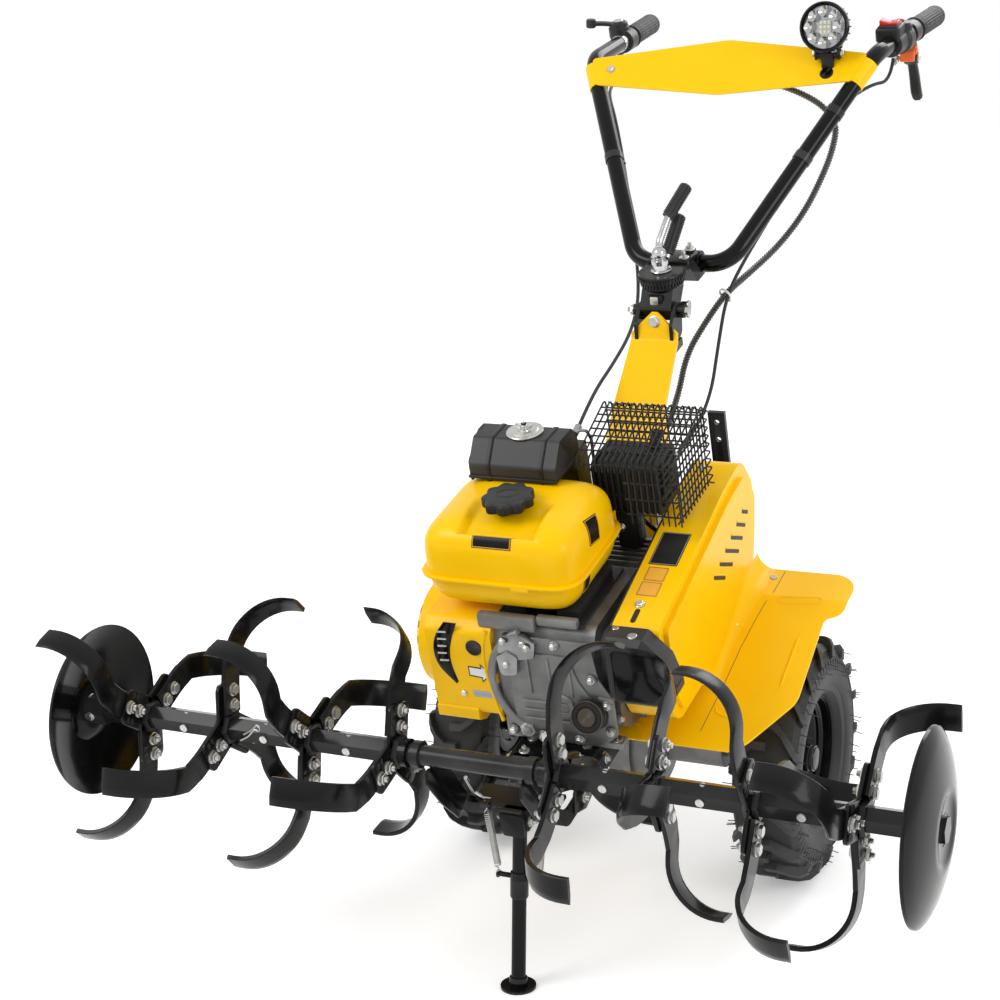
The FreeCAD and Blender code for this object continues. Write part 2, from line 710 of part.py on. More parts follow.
def tine_set(place, blades):
    """A hexagon sleeve with a plate for each blade, and the three blades bolted to the plates."""
    hub = [hex_x(-11, 11, rotor_y, rotor_z, rotor_hex + 9)]
    bolted = []
    for angle, side in blades:
        plate = prism_x([(rotor_y, rotor_z - 27), (rotor_y + 68, rotor_z - 27), (rotor_y + 68, rotor_z + 27),
                         (rotor_y, rotor_z + 27)], -hub_sheet / 2, hub_sheet / 2, [0, 10, 10, 0])
        root = angle + tine_lag
        hub.append(turned(plate, root, rotor_y, rotor_z))
        if side not in tine_shapes:
            tine_shapes[side] = tine(side)
        bolted.append(turned(tine_shapes[side], root, rotor_y, rotor_z))
    hub = joined(hub).cut(hex_x(-100, 100, rotor_y, rotor_z, rotor_hex))
    whole = Part.makeCompound([hub] + [blade.cut(hub) for blade in bolted])
    whole.translate(Vector(place, 0, 0))
    return whole


def end_disc(side):
    """Dished guard disc, hollow side inwards, with a stepped middle."""
    out = disc_dish
    ring = [(0, disc_radius), (out * 0.35, disc_radius * 0.86), (out * 0.7, disc_radius * 0.62),
            (out * 0.9, 46),
            (out * 0.9, 44), (out * 0.72, 40), (out * 0.72, 0)]
    back = [(x + disc_sheet, r) for x, r in ring[::-1]]
    profile = [(side * (disc_place + x), r) for x, r in ring + back]
    whole = turned_x(profile, rotor_y, rotor_z)
    boss = hex_x(side * (disc_place - 10), side * (disc_place + out * 0.72 + 1), rotor_y, rotor_z,
                 rotor_hex + 9)
    return joined([whole, boss]).cut(hex_x(-800, 800, rotor_y, rotor_z, rotor_hex))


# ---- head and handlebar ----

def head_bracket():
    """Tilting head: eye between the column's lugs and the lower serrated disc."""
    y, z = head_pivot_back, head_pivot_height
    block = prism_x([(y - 16, z - 14), (y + 14, z - 14), (swivel_back + 24, 690), (swivel_back + 24, 702),
                     (swivel_back - 26, 702), (y - 18, z + 10)], -27.5, 27.5, [12, 12, 6, 2, 2, 8])
    disc = rod((0, swivel_back, 702), (0, swivel_back, 712), 35)
    bolt = rod_x(-40, 46, y, z, 6)
    head = rod_x(-44, -34.3, y, z, 10)
    cam = prism_x([(y - 12, z - 12), (y + 24, z - 4), (y + 24, z + 10), (y - 10, z + 12)], 34.3, 46, 8)
    stud = rod((0, swivel_back, 700), (0, swivel_back, 748), 7)
    return joined([block, disc, bolt, head, cam, stud])


def handlebar_clamp():
    """Upper serrated disc and the cradle behind it that the bar lies in."""
    disc = rod((0, swivel_back, 712 + clearance), (0, swivel_back, 724), 38)
    y, z = bar_back, bar_height
    arm = prism_x([(swivel_back, 712 + clearance), (swivel_back, 724), (y - 42, 724), (y - 20, z),
                   (y + 20, z),
                   (y + 20, z - 21), (y - 30, z - 21), (y - 58, 712 + clearance)], -36, 36,
                   [0, 0, 8, 2, 2, 8, 8, 4])
    whole = joined([disc, arm]).cut(rod_x(-60, 60, y, z, bar_radius))
    return whole.cut(rod((0, swivel_back, 600), (0, swivel_back, 800), 7 + running_fit))


bar_corner = 84.0
bar_top = (263.0, 746.0, 950.0)
bar_end = (283.0, 1092.0, 913.0)


def handlebar_tube():
    points = [(-bar_end[0],) + bar_end[1:], (-bar_top[0],) + bar_top[1:], (-bar_corner, bar_back, bar_height),
              (bar_corner, bar_back, bar_height), bar_top, bar_end]
    return tube_along(points, bar_radius, [0, 80, 55, 55, 80, 0])


def along_grip(side, start, end, radius):
    """A sleeve on the straight rear stretch of the bar, start and end as distances from its end."""
    tip = Vector(side * bar_end[0], bar_end[1], bar_end[2])
    top = Vector(side * bar_top[0], bar_top[1], bar_top[2])
    back = (top - tip).normalize()
    return Part.makeCylinder(radius, end - start, tip + back * start, back)


def handlebar_grips():
    grips = []
    for side in (-1, 1):
        sleeve = along_grip(side, -6, 128, 19)
        grips.append(sleeve.cut(handlebar_solid))
    return Part.makeCompound(grips)


def in_bar_plane(x, along, lift):
    """A point of the sheet between the bar's legs: along the legs' slope, lift off it."""
    slope = Vector(0, bar_top[1] - bar_back, bar_top[2] - bar_height).normalize()
    normal = Vector(0, -slope.z, slope.y)
    return Vector(x, bar_top[1], bar_top[2]) + slope * along + normal * lift


def cross_panel():
    """Folded sheet between the tops of the legs, deepest in the middle."""
    outline = [(-256, -8), (0, 26), (256, -8), (236, -64), (0, -88), (-236, -64)]
    lift = bar_radius - 0.8
    points = [in_bar_plane(x, s, lift) for x, s in outline]
    normal = in_bar_plane(0, 0, 1) - in_bar_plane(0, 0, 0)
    face = Part.Face(rounded_wire(points, [6, 90, 6, 6, 90, 6]))
    plate = face.extrude(normal * sheet)
    wraps = []
    for side in (-1, 1):
        top = Vector(side * bar_top[0], bar_top[1], bar_top[2])
        low = Vector(side * bar_corner, bar_back, bar_height)
        down = (low - top).normalize()
        outer = Part.makeCylinder(bar_radius + sheet - 1.2, 50, top + down * 18, down)
        wraps.append(outer)
    whole = joined([plate] + wraps)
    return whole.cut(handlebar_solid)


lamp_centre = (190.0, 715.0, 1010.0)
lamp_tilt = 18.0


def work_lamp():
    """Round lamp and the foot that bolts it to the cross panel."""
    x, y, z = lamp_centre
    ahead = Vector(0, -cos(radians(lamp_tilt)), sin(radians(lamp_tilt)))
    face = Vector(x, y, z) + ahead * 14
    housing = Part.makeCylinder(43, 26, face, ahead * -1)
    back = Part.makeCone(40, 24, 18, face - ahead * 26, ahead * -1)
    foot = in_bar_plane(x, -46, bar_radius - 0.8 + sheet)
    stem = rod(tuple(foot), (x, y + 4, z - 34), 7)
    pad = Part.makeCylinder(13, 5, foot, in_bar_plane(0, 0, 1) - in_bar_plane(0, 0, 0))
    bracket = box(x - 22, x + 22, y - 4, y + 12, z - 52, z - 34)
    return joined([housing, back, stem, pad, bracket]).cut(panel_solid)


def switch_box():
    """Engine switch and light switch clamped on the left of the bar, viewed from the seat side."""
    ring = along_grip(1, 232, 262, bar_radius + 9)
    tip = Vector(bar_end[0], bar_end[1], bar_end[2])
    back = (Vector(*bar_top) - tip).normalize()
    at = tip + back * 247
    case = box(at.x - 24, at.x + 16, at.y - 20, at.y + 20, at.z + 8, at.z + 34)
    second = along_grip(1, 196, 222, bar_radius + 12)
    return joined([ring, case]).cut(handlebar_solid), second.cut(handlebar_solid)


def clutch_lever():
    """Clutch lever and its clamp, hanging under the left end of the bar."""
    ring = along_grip(1, 138, 168, bar_radius + 7)
    tip = Vector(bar_end[0], bar_end[1], bar_end[2])
    back = (Vector(*bar_top) - tip).normalize()
    at = tip + back * 153
    lever = rod((at.x + 2, at.y, at.z - 14), (at.x + 4, at.y + 6, at.z - 62), 6)
    blade = rod((at.x + 4, at.y + 6, at.z - 60), (at.x + 5, at.y + 10, at.z - 128), 9)
    latch = box(at.x - 12, at.x + 14, at.y - 30, at.y - 2, at.z - 48, at.z - 20)
    return joined([ring, lever, blade, latch]).cut(handlebar_solid)


def throttle_lever():
    """Throttle clamp and lever on the right of the bar."""
    ring = along_grip(-1, 140, 176, bar_radius + 8)
    tip = Vector(-bar_end[0], bar_end[1], bar_end[2])
    back = (Vector(-bar_top[0], bar_top[1], bar_top[2]) - tip).normalize()
    at = tip + back * 158
    drum = rod((at.x - 10, at.y, at.z + 8), (at.x - 10, at.y, at.z + 34), 19)
    arm = rod((at.x - 12, at.y, at.z + 28), (at.x - 62, at.y - 22, at.z + 40), 5)
    return joined([ring, drum, arm]).cut(handlebar_solid)


def lock_lever():
    """Two bent rods with rubber hand grips, on the nut that locks the handlebar's swivel."""
    y = swivel_back
    nut = rod((0, y, 724 + clearance), (0, y, 744), 15)
    pieces = [nut]
    pieces.append(tube_along([(0, y, 738), (0, y + 4, 772), (7, y + 32, 800), (10, y + 46, 812)], 6,
                             [0, 16, 10, 0]))
    pieces.append(rod((8, y + 40, 806), (30, y + 84, 844), 11.4))
    pieces.append(tube_along([(0, y, 733), (4, y + 16, 738), (9, y + 40, 762)], 6, [0, 12, 0]))
    pieces.append(rod((6, y + 22, 746), (18, y + 68, 798), 11.4))
    return joined(pieces).cut(rod((0, y, 690), (0, y, 749), 7 + running_fit))


# ---- cables ----

def cable(points, radius):
    """A held cable: straight runs and the largest tangent arcs they allow."""
    vectors = [Vector(*p) for p in points]
    bends = [0.0]
    for k in range(1, len(points) - 1):
        back = vectors[k - 1] - vectors[k]
        ahead = vectors[k + 1] - vectors[k]
        turn = pi - back.getAngle(ahead)
        bends.append(0.45 * min(back.Length, ahead.Length) / tan(turn / 2))
    bends.append(0.0)
    print("  bend radii", [round(b) for b in bends[1:-1]], "for radius", radius)
    return tube_along(points, radius, bends)


conduit_points = [(92, 726, 906), (150, 730, 884), (196, 722, 840), (194, 690, 800), (182, 655, 762),
                  (158, 612, 712), (122, 566, 668), (84, 512, 640), (60, 452, 628), (34, 404, 592),
                  (10, 360, 550), (0, 326, 486), (0, 240, 452), (0, 112, 442), (0, 112, 376.4)]
clutch_points = [(258, 880, 900), (262, 838, 872), (244, 776, 888), (206, 708, 872), (160, 628, 802),
                 (122, 556, 736), (86, 492, 676), (64, 440, 628), (62, 380, 560), (62, 320, 492),
                 (44, 256, 446), (28, 180, 434), (24, 112, 432), (24, 112, 376.4)]
throttle_points = [(-262, 880, 906), (-262, 820, 880), (-238, 740, 888), (-200, 672, 862), (-150, 570, 784),
                   (-106, 470, 704), (-80, 400, 640), (-68, 320, 610), (-62, 220, 600), (-62, 110, 590),
                   (-60, 20, 560)]


def cable_clips():
    """Straps that hold each cable to the leg of the bar beside it, and to the column."""
    clips = []
    for line, side, share in ((conduit_points, 1, 0.72), (clutch_points, 1, 0.5), (throttle_points, -1, 0.5)):
        low = Vector(side * bar_corner, bar_back, bar_height)
        on_bar = low + (Vector(side * bar_top[0], bar_top[1], bar_top[2]) - low) * share
        held = cable_solids[line[0]].distToShape(Part.Vertex(on_bar))[1][0][0]
        strap = Part.makeCylinder(5, (held - on_bar).Length + 3, on_bar, held - on_bar)
        down = (low - on_bar).normalize()
        band = Part.makeCylinder(bar_radius + 1.5, 14, on_bar - down * 7, down)
        clip = joined([strap, band]).cut(handlebar_solid)
        for solid in cable_solids.values():
            clip = clip.cut(solid)
        clips.append(max(clip.Solids, key=lambda s: s.Volume))
    return Part.makeCompound(clips)


gearbox_solid = gearbox()
handlebar_solid = handlebar_tube()

save("gearbox", gearbox_solid)
save("wheel_axle", wheel_axle())
for name, side in (("right", -1), ("left", 1)):
    save(name + "_tyre", tyre(side * half_track))
    save(name + "_rim", rim(side * half_track, side))
save("engine_frame", engine_frame())
save("hitch_bracket", hitch_bracket())
save("drag_stake", drag_stake())
save("engine_block", engine_block())
save("cylinder", cylinder())
save("fan_shroud", fan_shroud())
save("recoil_cover", recoil_cover())
save("fuel_tank", fuel_tank())
save("tank_bracket", tank_bracket())
save("fuel_cap", fuel_cap())
save("air_cleaner", air_cleaner())
save("muffler", muffler())
save("muffler_guard", muffler_guard())
save("belt_cover", belt_cover())
save("belt_back_plate", belt_back_plate())
save("belt_end_box", belt_end_box())
save("left_fender", left_fender())
save("right_fender", right_fender())
column_solid = column()
save("column", column_solid)
save("column_clevis", column_clevis())
save("front_carrier", front_carrier())
save("stand_leg", stand_leg())
save("stand_springs", stand_springs())
save("rotor_shaft", rotor_shaft())
for name, (place, blades) in tine_angles.items():
    save(name, tine_set(place, blades))
save("end_discs", Part.makeCompound([end_disc(-1), end_disc(1)]))
save("head_bracket", head_bracket())
save("handlebar_clamp", handlebar_clamp())
save("handlebar_tube", handlebar_solid)
save("handlebar_grips", handlebar_grips())
panel_solid = cross_panel()
save("cross_panel", panel_solid)
save("work_lamp", work_lamp())
switch, dial = switch_box()
save("switch_box", switch)
save("light_switch", dial)
save("clutch_lever", clutch_lever())
save("throttle_lever", throttle_lever())
save("lock_lever", lock_lever())
cable_solids = {line[0]: cable(line, radius) for line, radius in
                ((conduit_points, 6.0), (clutch_points, 3.0), (throttle_points, 3.0))}
save("conduit", cable_solids[conduit_points[0]])
save("clutch_cable", cable_solids[clutch_points[0]])
save("throttle_cable", cable_solids[throttle_points[0]])
save("cable_clips", cable_clips())
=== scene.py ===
import bpy, bmesh, json
from math import atan2, cos, pi, radians, sin, sqrt
from mathutils import Matrix, Vector
from mathutils.bvhtree import BVHTree


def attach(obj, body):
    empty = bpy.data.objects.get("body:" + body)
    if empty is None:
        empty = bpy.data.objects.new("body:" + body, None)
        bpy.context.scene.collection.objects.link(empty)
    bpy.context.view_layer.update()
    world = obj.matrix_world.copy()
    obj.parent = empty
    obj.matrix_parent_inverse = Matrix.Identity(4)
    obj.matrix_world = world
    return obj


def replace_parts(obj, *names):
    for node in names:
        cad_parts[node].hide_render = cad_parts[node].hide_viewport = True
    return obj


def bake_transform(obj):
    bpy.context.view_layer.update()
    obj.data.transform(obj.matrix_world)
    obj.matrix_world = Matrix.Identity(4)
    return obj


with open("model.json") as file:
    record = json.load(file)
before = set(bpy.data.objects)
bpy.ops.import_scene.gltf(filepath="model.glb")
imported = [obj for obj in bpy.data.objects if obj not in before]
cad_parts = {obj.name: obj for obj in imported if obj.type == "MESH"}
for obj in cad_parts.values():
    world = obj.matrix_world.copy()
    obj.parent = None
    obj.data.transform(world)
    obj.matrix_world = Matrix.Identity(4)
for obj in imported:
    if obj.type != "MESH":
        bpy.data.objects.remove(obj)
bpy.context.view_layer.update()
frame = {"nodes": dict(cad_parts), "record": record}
print("frame loaded", len(frame["nodes"]), "nodes")

# The machine's own level frame, in millimetres from the axle, and how it stands on the floor.
joints = {j["name"]: j for j in frame["record"]["behaviour"]["joints"]}
upAxis = Vector(joints["handlebar_swivel"]["axis"])
axle = Vector(joints["left_wheel_spin"]["pos_m"])
lean = atan2(-upAxis.y, upAxis.z)
toWorld = Matrix.Translation((0, axle.y, axle.z)) @ Matrix.Rotation(lean, 4, "X") @ Matrix.Scale(0.001, 4)
sideName = {1: "left", -1: "right"}


# Turns a bmesh in millimetres into a finished object that rides on a body.
def piece(name, bm, material, body="chassis", slot=None, angle=32):
    bmesh.ops.remove_doubles(bm, verts=bm.verts, dist=0.002)
    bmesh.ops.recalc_face_normals(bm, faces=bm.faces)
    bm.transform(toWorld)
    mesh = bpy.data.meshes.new(name)
    bm.to_mesh(mesh)
    bm.free()
    mesh.materials.append(material)
    mesh.shade_smooth()
    mesh.set_sharp_from_angle(angle=radians(angle))
    obj = bpy.data.objects.new(name, mesh)
    bpy.context.collection.objects.link(obj)
    if body:
        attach(obj, body)
    slot or slotOf[material]
    return obj


# Moves a part's mesh into bm.
def absorb(bm, part, place=None):
    if place is not None:
        part.transform(place)
    mesh = bpy.data.meshes.new("part")
    part.to_mesh(mesh)
    part.free()
    bm.from_mesh(mesh)
    bpy.data.meshes.remove(mesh)


# Rings of points bridged one after another; loop joins the last ring to the first.
def grow(bm, rings, caps=True, loop=False):
    part = bmesh.new()
    rows, edges = [], []
    for ring in rings:
        row = [part.verts.new(p) for p in ring]
        rows.append(row)
        edges.append([part.edges.new((row[k - 1], row[k])) for k in range(len(row))])
    for a, b in list(zip(edges, edges[1:])) + ([(edges[-1], edges[0])] if loop else []):
        bmesh.ops.bridge_loops(part, edges=a + b)
    if caps and not loop:
        part.faces.new(rows[0][::-1])
        part.faces.new(rows[-1])
    absorb(bm, part)


# Straight runs with rounded corners.
def arcs(points, bend, steps=6):
    points = [Vector(p) for p in points]
    bends = bend if isinstance(bend, (list, tuple)) else [bend] * (len(points) - 2)
    line = [points[0]]
    for k in range(1, len(points) - 1):
        back, ahead = (points[k - 1] - points[k]).normalized(), (points[k + 1] - points[k]).normalized()
        half = back.angle(ahead) / 2
        reach = bends[k - 1] / max(0.05, abs(sin(half) / cos(half)))
        start, end = points[k] + back * reach, points[k] + ahead * reach
        for s in range(steps + 1):
            t = s / steps
            line.append(start.lerp(points[k], t).lerp(points[k].lerp(end, t), t))
    return line + [points[-1]]


# A smooth line through the points.
def curve(points, steps=8):
    p = [Vector(q) for q in points]
    p = [p[0] * 2 - p[1]] + p + [p[-1] * 2 - p[-2]]
    line = []
    for k in range(1, len(p) - 2):
        a, b, c, d = p[k - 1:k + 3]
        for s in range(steps):
            t = s / steps
            line.append(0.5 * (2 * b + (c - a) * t + (2 * a - 5 * b + 4 * c - d) * t ** 2
                               + (3 * b - a - 3 * c + d) * t ** 3))
    return line + [p[-2]]


# Each point of a line with its heading and two directions across it.
def frames(line, up=None):
    normal = None
    for k, at in enumerate(line):
        ahead = (line[min(k + 1, len(line) - 1)] - line[max(k - 1, 0)]).normalized()
        normal = normal or (Vector(up) if up else ahead.orthogonal())
        normal = (normal - ahead * normal.dot(ahead)).normalized()
        yield at, ahead, normal, ahead.cross(normal)


# shape(k) gives the section's (u, v) points at the line's point k.
def sweep(bm, line, shape, up=None, caps=True):
    rings = []
    for k, (at, _, u, v) in enumerate(frames(line, up)):
        rings.append([at + u * a + v * b for a, b in shape(k)])
    grow(bm, rings, caps)


# A round section; radius is a number or a function of the line's point.
def tube(bm, line, radius, sides=12, caps=True):
    size = radius if callable(radius) else lambda k: radius
    turn = [(cos(2 * pi * k / sides), sin(2 * pi * k / sides)) for k in range(sides)]
    sweep(bm, [Vector(p) for p in line], lambda k: [(size(k) * c, size(k) * s) for c, s in turn], None, caps)


# profile holds (along, radius) points, spun about the axis through origin.
def lathe(bm, profile, origin, axis, sides=48, closed=False):
    part = bmesh.new()
    origin, axis = Vector(origin), Vector(axis).normalized()
    out = axis.orthogonal().normalized()
    row = [part.verts.new(origin + axis * a + out * r) for a, r in profile]
    edges = [part.edges.new(pair) for pair in zip(row, row[1:])]
    if closed:
        edges.append(part.edges.new((row[-1], row[0])))
    bmesh.ops.spin(part, geom=row + edges, cent=origin, axis=axis, angle=2 * pi, steps=sides, use_merge=True)
    absorb(bm, part)


# A closed outline of (u, v) points with rounded corners.
def rounded(outline, radius, steps=4):
    points = [Vector((u, v, 0)) for u, v in outline]
    radii = radius if isinstance(radius, (list, tuple)) else [radius] * len(points)
    line = []
    for k, at in enumerate(points):
        if radii[k] <= 0:
            line.append((at.x, at.y))
            continue
        back, ahead = (points[k - 1] - at).normalized(), (points[(k + 1) % len(points)] - at).normalized()
        half = back.angle(ahead) / 2
        reach = radii[k] * cos(half) / sin(half)
        start, end = at + back * reach, at + ahead * reach
        centre = at + (back + ahead).normalized() * (radii[k] / sin(half))
        for s in range(steps + 1):
            ray = (start - centre).lerp(end - centre, s / steps).normalized() * radii[k]
            line.append((centre.x + ray.x, centre.y + ray.y))
    return line


# A flat outline given thickness along the third axis of place.
def slab(bm, outline, place, thick, bevel=0.0, segments=2):
    part = bmesh.new()
    face = part.faces.new([part.verts.new((u, v, 0)) for u, v in outline])
    made = bmesh.ops.extrude_face_region(part, geom=[face])["geom"]
    top = [g for g in made if isinstance(g, bmesh.types.BMVert)]
    bmesh.ops.translate(part, verts=top, vec=(0, 0, thick))
    bmesh.ops.recalc_face_normals(part, faces=part.faces)
    if bevel:
        rims = [e for e in part.edges if abs(e.verts[0].co.z - e.verts[1].co.z) < 1e-6]
        bmesh.ops.bevel(part, geom=rims, offset=bevel, segments=segments, profile=0.5, affect="EDGES",
                        clamp_overlap=True, material=-1)
    absorb(bm, part, place)


def block(bm, low, high, bevel=1.0, place=None, segments=2):
    part = bmesh.new()
    bmesh.ops.create_cube(part, size=1.0)
    low, high = Vector(low), Vector(high)
    size = high - low
    part.transform(Matrix.Translation((low + high) / 2) @ Matrix.Diagonal((*size, 1)))
    if bevel:
        bmesh.ops.bevel(part, geom=part.edges[:], offset=bevel, segments=segments, profile=0.5,
                        affect="EDGES",
                        clamp_overlap=True, material=-1)
    absorb(bm, part, place)


# Places u across, v up and w outwards.
def facing(at, out, up=(0, 0, 1)):
    w = Vector(out).normalized()
    v = (Vector(up) - w * w.dot(Vector(up))).normalized()
    u = v.cross(w)
    return Matrix.Translation(Vector(at)) @ Matrix((u, v, w)).transposed().to_4x4()


# Outlines of (y, z) points pushed along X from x.
def alongX(x, y=0.0, z=0.0):
    return Matrix(((0, 0, 1, x), (1, 0, 0, y), (0, 1, 0, z), (0, 0, 0, 1)))


# Outlines of (x, y) points pushed upwards from z.
def alongZ(z):
    return Matrix.Translation((0, 0, z))


# Outlines of (x, z) points pushed from y, towards the front or, with a sense of 1, the rear.
def alongY(y, x=0.0, z=0.0, sense=-1):
    return Matrix(((1, 0, 0, x), (0, 0, sense, y), (0, 1, 0, z), (0, 0, 0, 1)))


# A rectangle's corners, from its half sides and its middle.
def oblong(wide, high, u=0.0, v=0.0):
    return [(u - wide, v - high), (u + wide, v - high), (u + wide, v + high), (u - wide, v + high)]


fasteners = {}


# A flange bolt or nut: washer, chamfered hexagon and, where it shows, the thread's end.
def bolt(body, at, out, across=15.0, high=6.5, stud=0.0):
    v = {"rim": 0.68, "washer": 2.4, "root": 0.24, "crest": 0.28, "pitch": 1.5}
    bm = fasteners.setdefault(body, bmesh.new())
    at, out = Vector(at), Vector(out).normalized()
    rim, low, top, pitch = across * v["rim"], across * v["root"], v["washer"], v["pitch"]
    lathe(bm, [(0, 0.01), (0, rim), (1.6, rim), (top, rim * 0.86), (top, 0.01)], at, out, 20)
    corner = across / sqrt(3)
    place = facing(at, out)
    slab(bm, [(corner * cos(pi * k / 3), corner * sin(pi * k / 3)) for k in range(6)], place, high, 0.9, 1)
    if stud:
        ridges = []
        for k in range(int(stud / pitch)):
            ridges += [(high + pitch * k, low), (high + pitch * k + pitch / 2, across * v["crest"])]
        lathe(bm, [(0, 0.01)] + ridges + [(high + stud, low), (high + stud, 0.01)], at, out, 12)


# Adds a node to a tree; an input is given a value, or the socket that feeds it.
def node(tree, kind, inputs, **settings):
    made = tree.nodes.new("ShaderNode" + kind)
    for key, value in settings.items():
        setattr(made, key, value)
    for key, value in inputs.items():
        if isinstance(value, bpy.types.NodeSocket):
            tree.links.new(value, made.inputs[key])
        else:
            made.inputs[key].default_value = value
    return made


# Shared surface detail: a slow tone, a fine grain, dust on upward faces, lighter edges that are partly worn
# and partly a painted highlight, and a relief.
def surfaceDetail():
    v = {"slowDetail": 4.0, "fineDetail": 3.0, "edgeFrom": 0.54, "edgeTo": 0.66, "relief": 0.001}
    group = bpy.data.node_groups.new("surfaceDetail", "ShaderNodeTree")
    face = group.interface
    for name, value in (("Scale", 12.0), ("Relief", 0.1), ("Grain Scale", 400.0)):
        face.new_socket(name=name, in_out="INPUT", socket_type="NodeSocketFloat").default_value = value
    for name in ("Tone", "Grain", "Dust", "Edge", "Normal"):
        kind = "NodeSocketVector" if name == "Normal" else "NodeSocketFloat"
        face.new_socket(name=name, in_out="OUTPUT", socket_type=kind)
    inputs, outputs = group.nodes.new("NodeGroupInput").outputs, group.nodes.new("NodeGroupOutput").inputs
    place = node(group, "TexCoord", {}).outputs["Object"]
    slow, fine = (
        node(group, "TexNoise", {"Detail": v[rounds], "Vector": place, "Scale": inputs[size]}).outputs["Fac"]
        for rounds, size in (("slowDetail", "Scale"), ("fineDetail", "Grain Scale")))
    shape = node(group, "NewGeometry", {}).outputs
    split = node(group, "SeparateXYZ", {0: shape["Normal"]})
    dust = node(group, "Math", {0: split.outputs["Z"], 1: slow}, operation="MULTIPLY", use_clamp=True)
    # Convex edges found by pointiness and broken by the slow noise; the lighter colour laid on them is partly
    # edge wear and partly a painted highlight along the bevels.
    edge = node(group, "MapRange", {"From Min": v["edgeFrom"], "From Max": v["edgeTo"],
                                    "Value": shape["Pointiness"]})
    wornAndLitEdge = node(group, "Math", {0: edge.outputs[0], 1: slow}, operation="MULTIPLY")
    bump = node(group, "Bump", {"Distance": v["relief"], "Strength": inputs["Relief"], "Height": fine})
    for name, socket in (("Tone", slow), ("Grain", fine), ("Dust", dust.outputs[0]),
                         ("Edge", wornAndLitEdge.outputs[0]),
                         ("Normal", bump.outputs["Normal"])):
        group.links.new(socket, outputs[name])
    return group


detail = surfaceDetail()


# A paint, metal or plastic: its tone runs from dark to light, under dust and lighter edges, which are partly
# wear and partly a painted highlight.
def material(name, dark, light, rough=(0.3, 0.4), metallic=0.0, coat=0.0, scale=12.0, grain=400.0, relief=0.1,
             dust=0.06, edge=0.15, edgeColor=(0.6, 0.6, 0.6), specular=0.5):
    v = {"dustColor": (0.52, 0.48, 0.42), "coatRoughness": 0.08}
    made = bpy.data.materials.new(name)
    made.use_nodes = True
    tree = made.node_tree
    group = node(tree, "Group", {}, node_tree=detail)
    for key, value in (("Scale", scale), ("Grain Scale", grain), ("Relief", relief)):
        group.inputs[key].default_value = value
    seen = group.outputs
    last = node(tree, "Mix", {"A": (*dark, 1), "B": (*light, 1), "Factor": seen["Tone"]}, data_type="RGBA")
    # Dust, then the edge colour, which is partly wear and partly a painted highlight.
    for amount, mask, color in ((dust, "Dust", v["dustColor"]), (edge, "Edge", edgeColor)):
        if amount:
            share = node(tree, "Math", {0: seen[mask], 1: amount}, operation="MULTIPLY")
            last = node(tree, "Mix", {"A": last.outputs["Result"], "B": (*color, 1),
                                      "Factor": share.outputs[0]},
                        data_type="RGBA")
    span = node(tree, "MapRange", {"To Min": rough[0], "To Max": rough[1], "Value": seen["Tone"]})
    shader = tree.nodes["Principled BSDF"].inputs
    tree.links.new(last.outputs["Result"], shader["Base Color"])
    tree.links.new(span.outputs[0], shader["Roughness"])
    if relief:
        tree.links.new(seen["Normal"], shader["Normal"])
    for key, value in (("Metallic", metallic), ("Coat Weight", coat), ("Coat Roughness", v["coatRoughness"]),
                       ("Specular IOR Level", specular)):
        shader[key].default_value = value
    return made


# On the yellow paint and on the two black enamels below, the lighter edge colour is a painted highlight along
# the edges.
yellow = material("yellowPaint", (0.93, 0.52, 0.0), (0.99, 0.59, 0.0), (0.24, 0.36), coat=0.06, relief=0.04,
                  dust=0.0, edge=0.08, edgeColor=(1.0, 0.7, 0.1), specular=0.14)
black = material("blackEnamel", (0.002, 0.002, 0.002), (0.005, 0.005, 0.005), (0.16, 0.3), coat=0.08,
                 relief=0.05,
                 dust=0.008, edge=0.35, edgeColor=(0.2, 0.2, 0.2), specular=0.12)
barBlack = material("barEnamel", (0.0015, 0.0015, 0.0015), (0.004, 0.004, 0.004), (0.12, 0.2), coat=0.12,
                    relief=0.02, dust=0.004, edge=0.12, specular=0.12)
orangeLabel = material("orangeLabel", (0.8, 0.36, 0.02), (0.9, 0.45, 0.03), (0.3, 0.4), relief=0.02, edge=0.0)
cast = material("castAluminium", (0.08, 0.08, 0.08), (0.3, 0.3, 0.295), (0.4, 0.6), metallic=0.75, scale=26.0,
                grain=900.0, relief=0.35, dust=0.05, edge=0.5, edgeColor=(0.75, 0.75, 0.75))
zinc = material("zincPlate", (0.36, 0.36, 0.34), (0.66, 0.65, 0.62), (0.26, 0.4), metallic=1.0, scale=90.0,
                relief=0.0, dust=0.0, edge=0.35, edgeColor=(0.85, 0.85, 0.82))
steel = material("turnedSteel", (0.2, 0.2, 0.21), (0.42, 0.42, 0.42), (0.28, 0.42), metallic=1.0, scale=60.0,
                 relief=0.0, dust=0.02)
chrome = material("chromePlate", (0.34, 0.34, 0.35), (0.62, 0.62, 0.62), (0.1, 0.18), metallic=1.0,
                  scale=70.0,
                  relief=0.0, dust=0.0, edge=0.0)
rubber = material("tyreRubber", (0.009, 0.009, 0.009), (0.026, 0.026, 0.0255), (0.45, 0.62), grain=700.0,
                  relief=0.3,
                  dust=0.04, edge=0.3, edgeColor=(0.16, 0.16, 0.16), specular=0.3)
gripRubber = material("gripRubber", (0.01, 0.01, 0.01), (0.024, 0.024, 0.024), (0.5, 0.62), grain=1200.0,
                      relief=0.25, dust=0.05, edge=0.2, edgeColor=(0.12, 0.12, 0.12), specular=0.4)
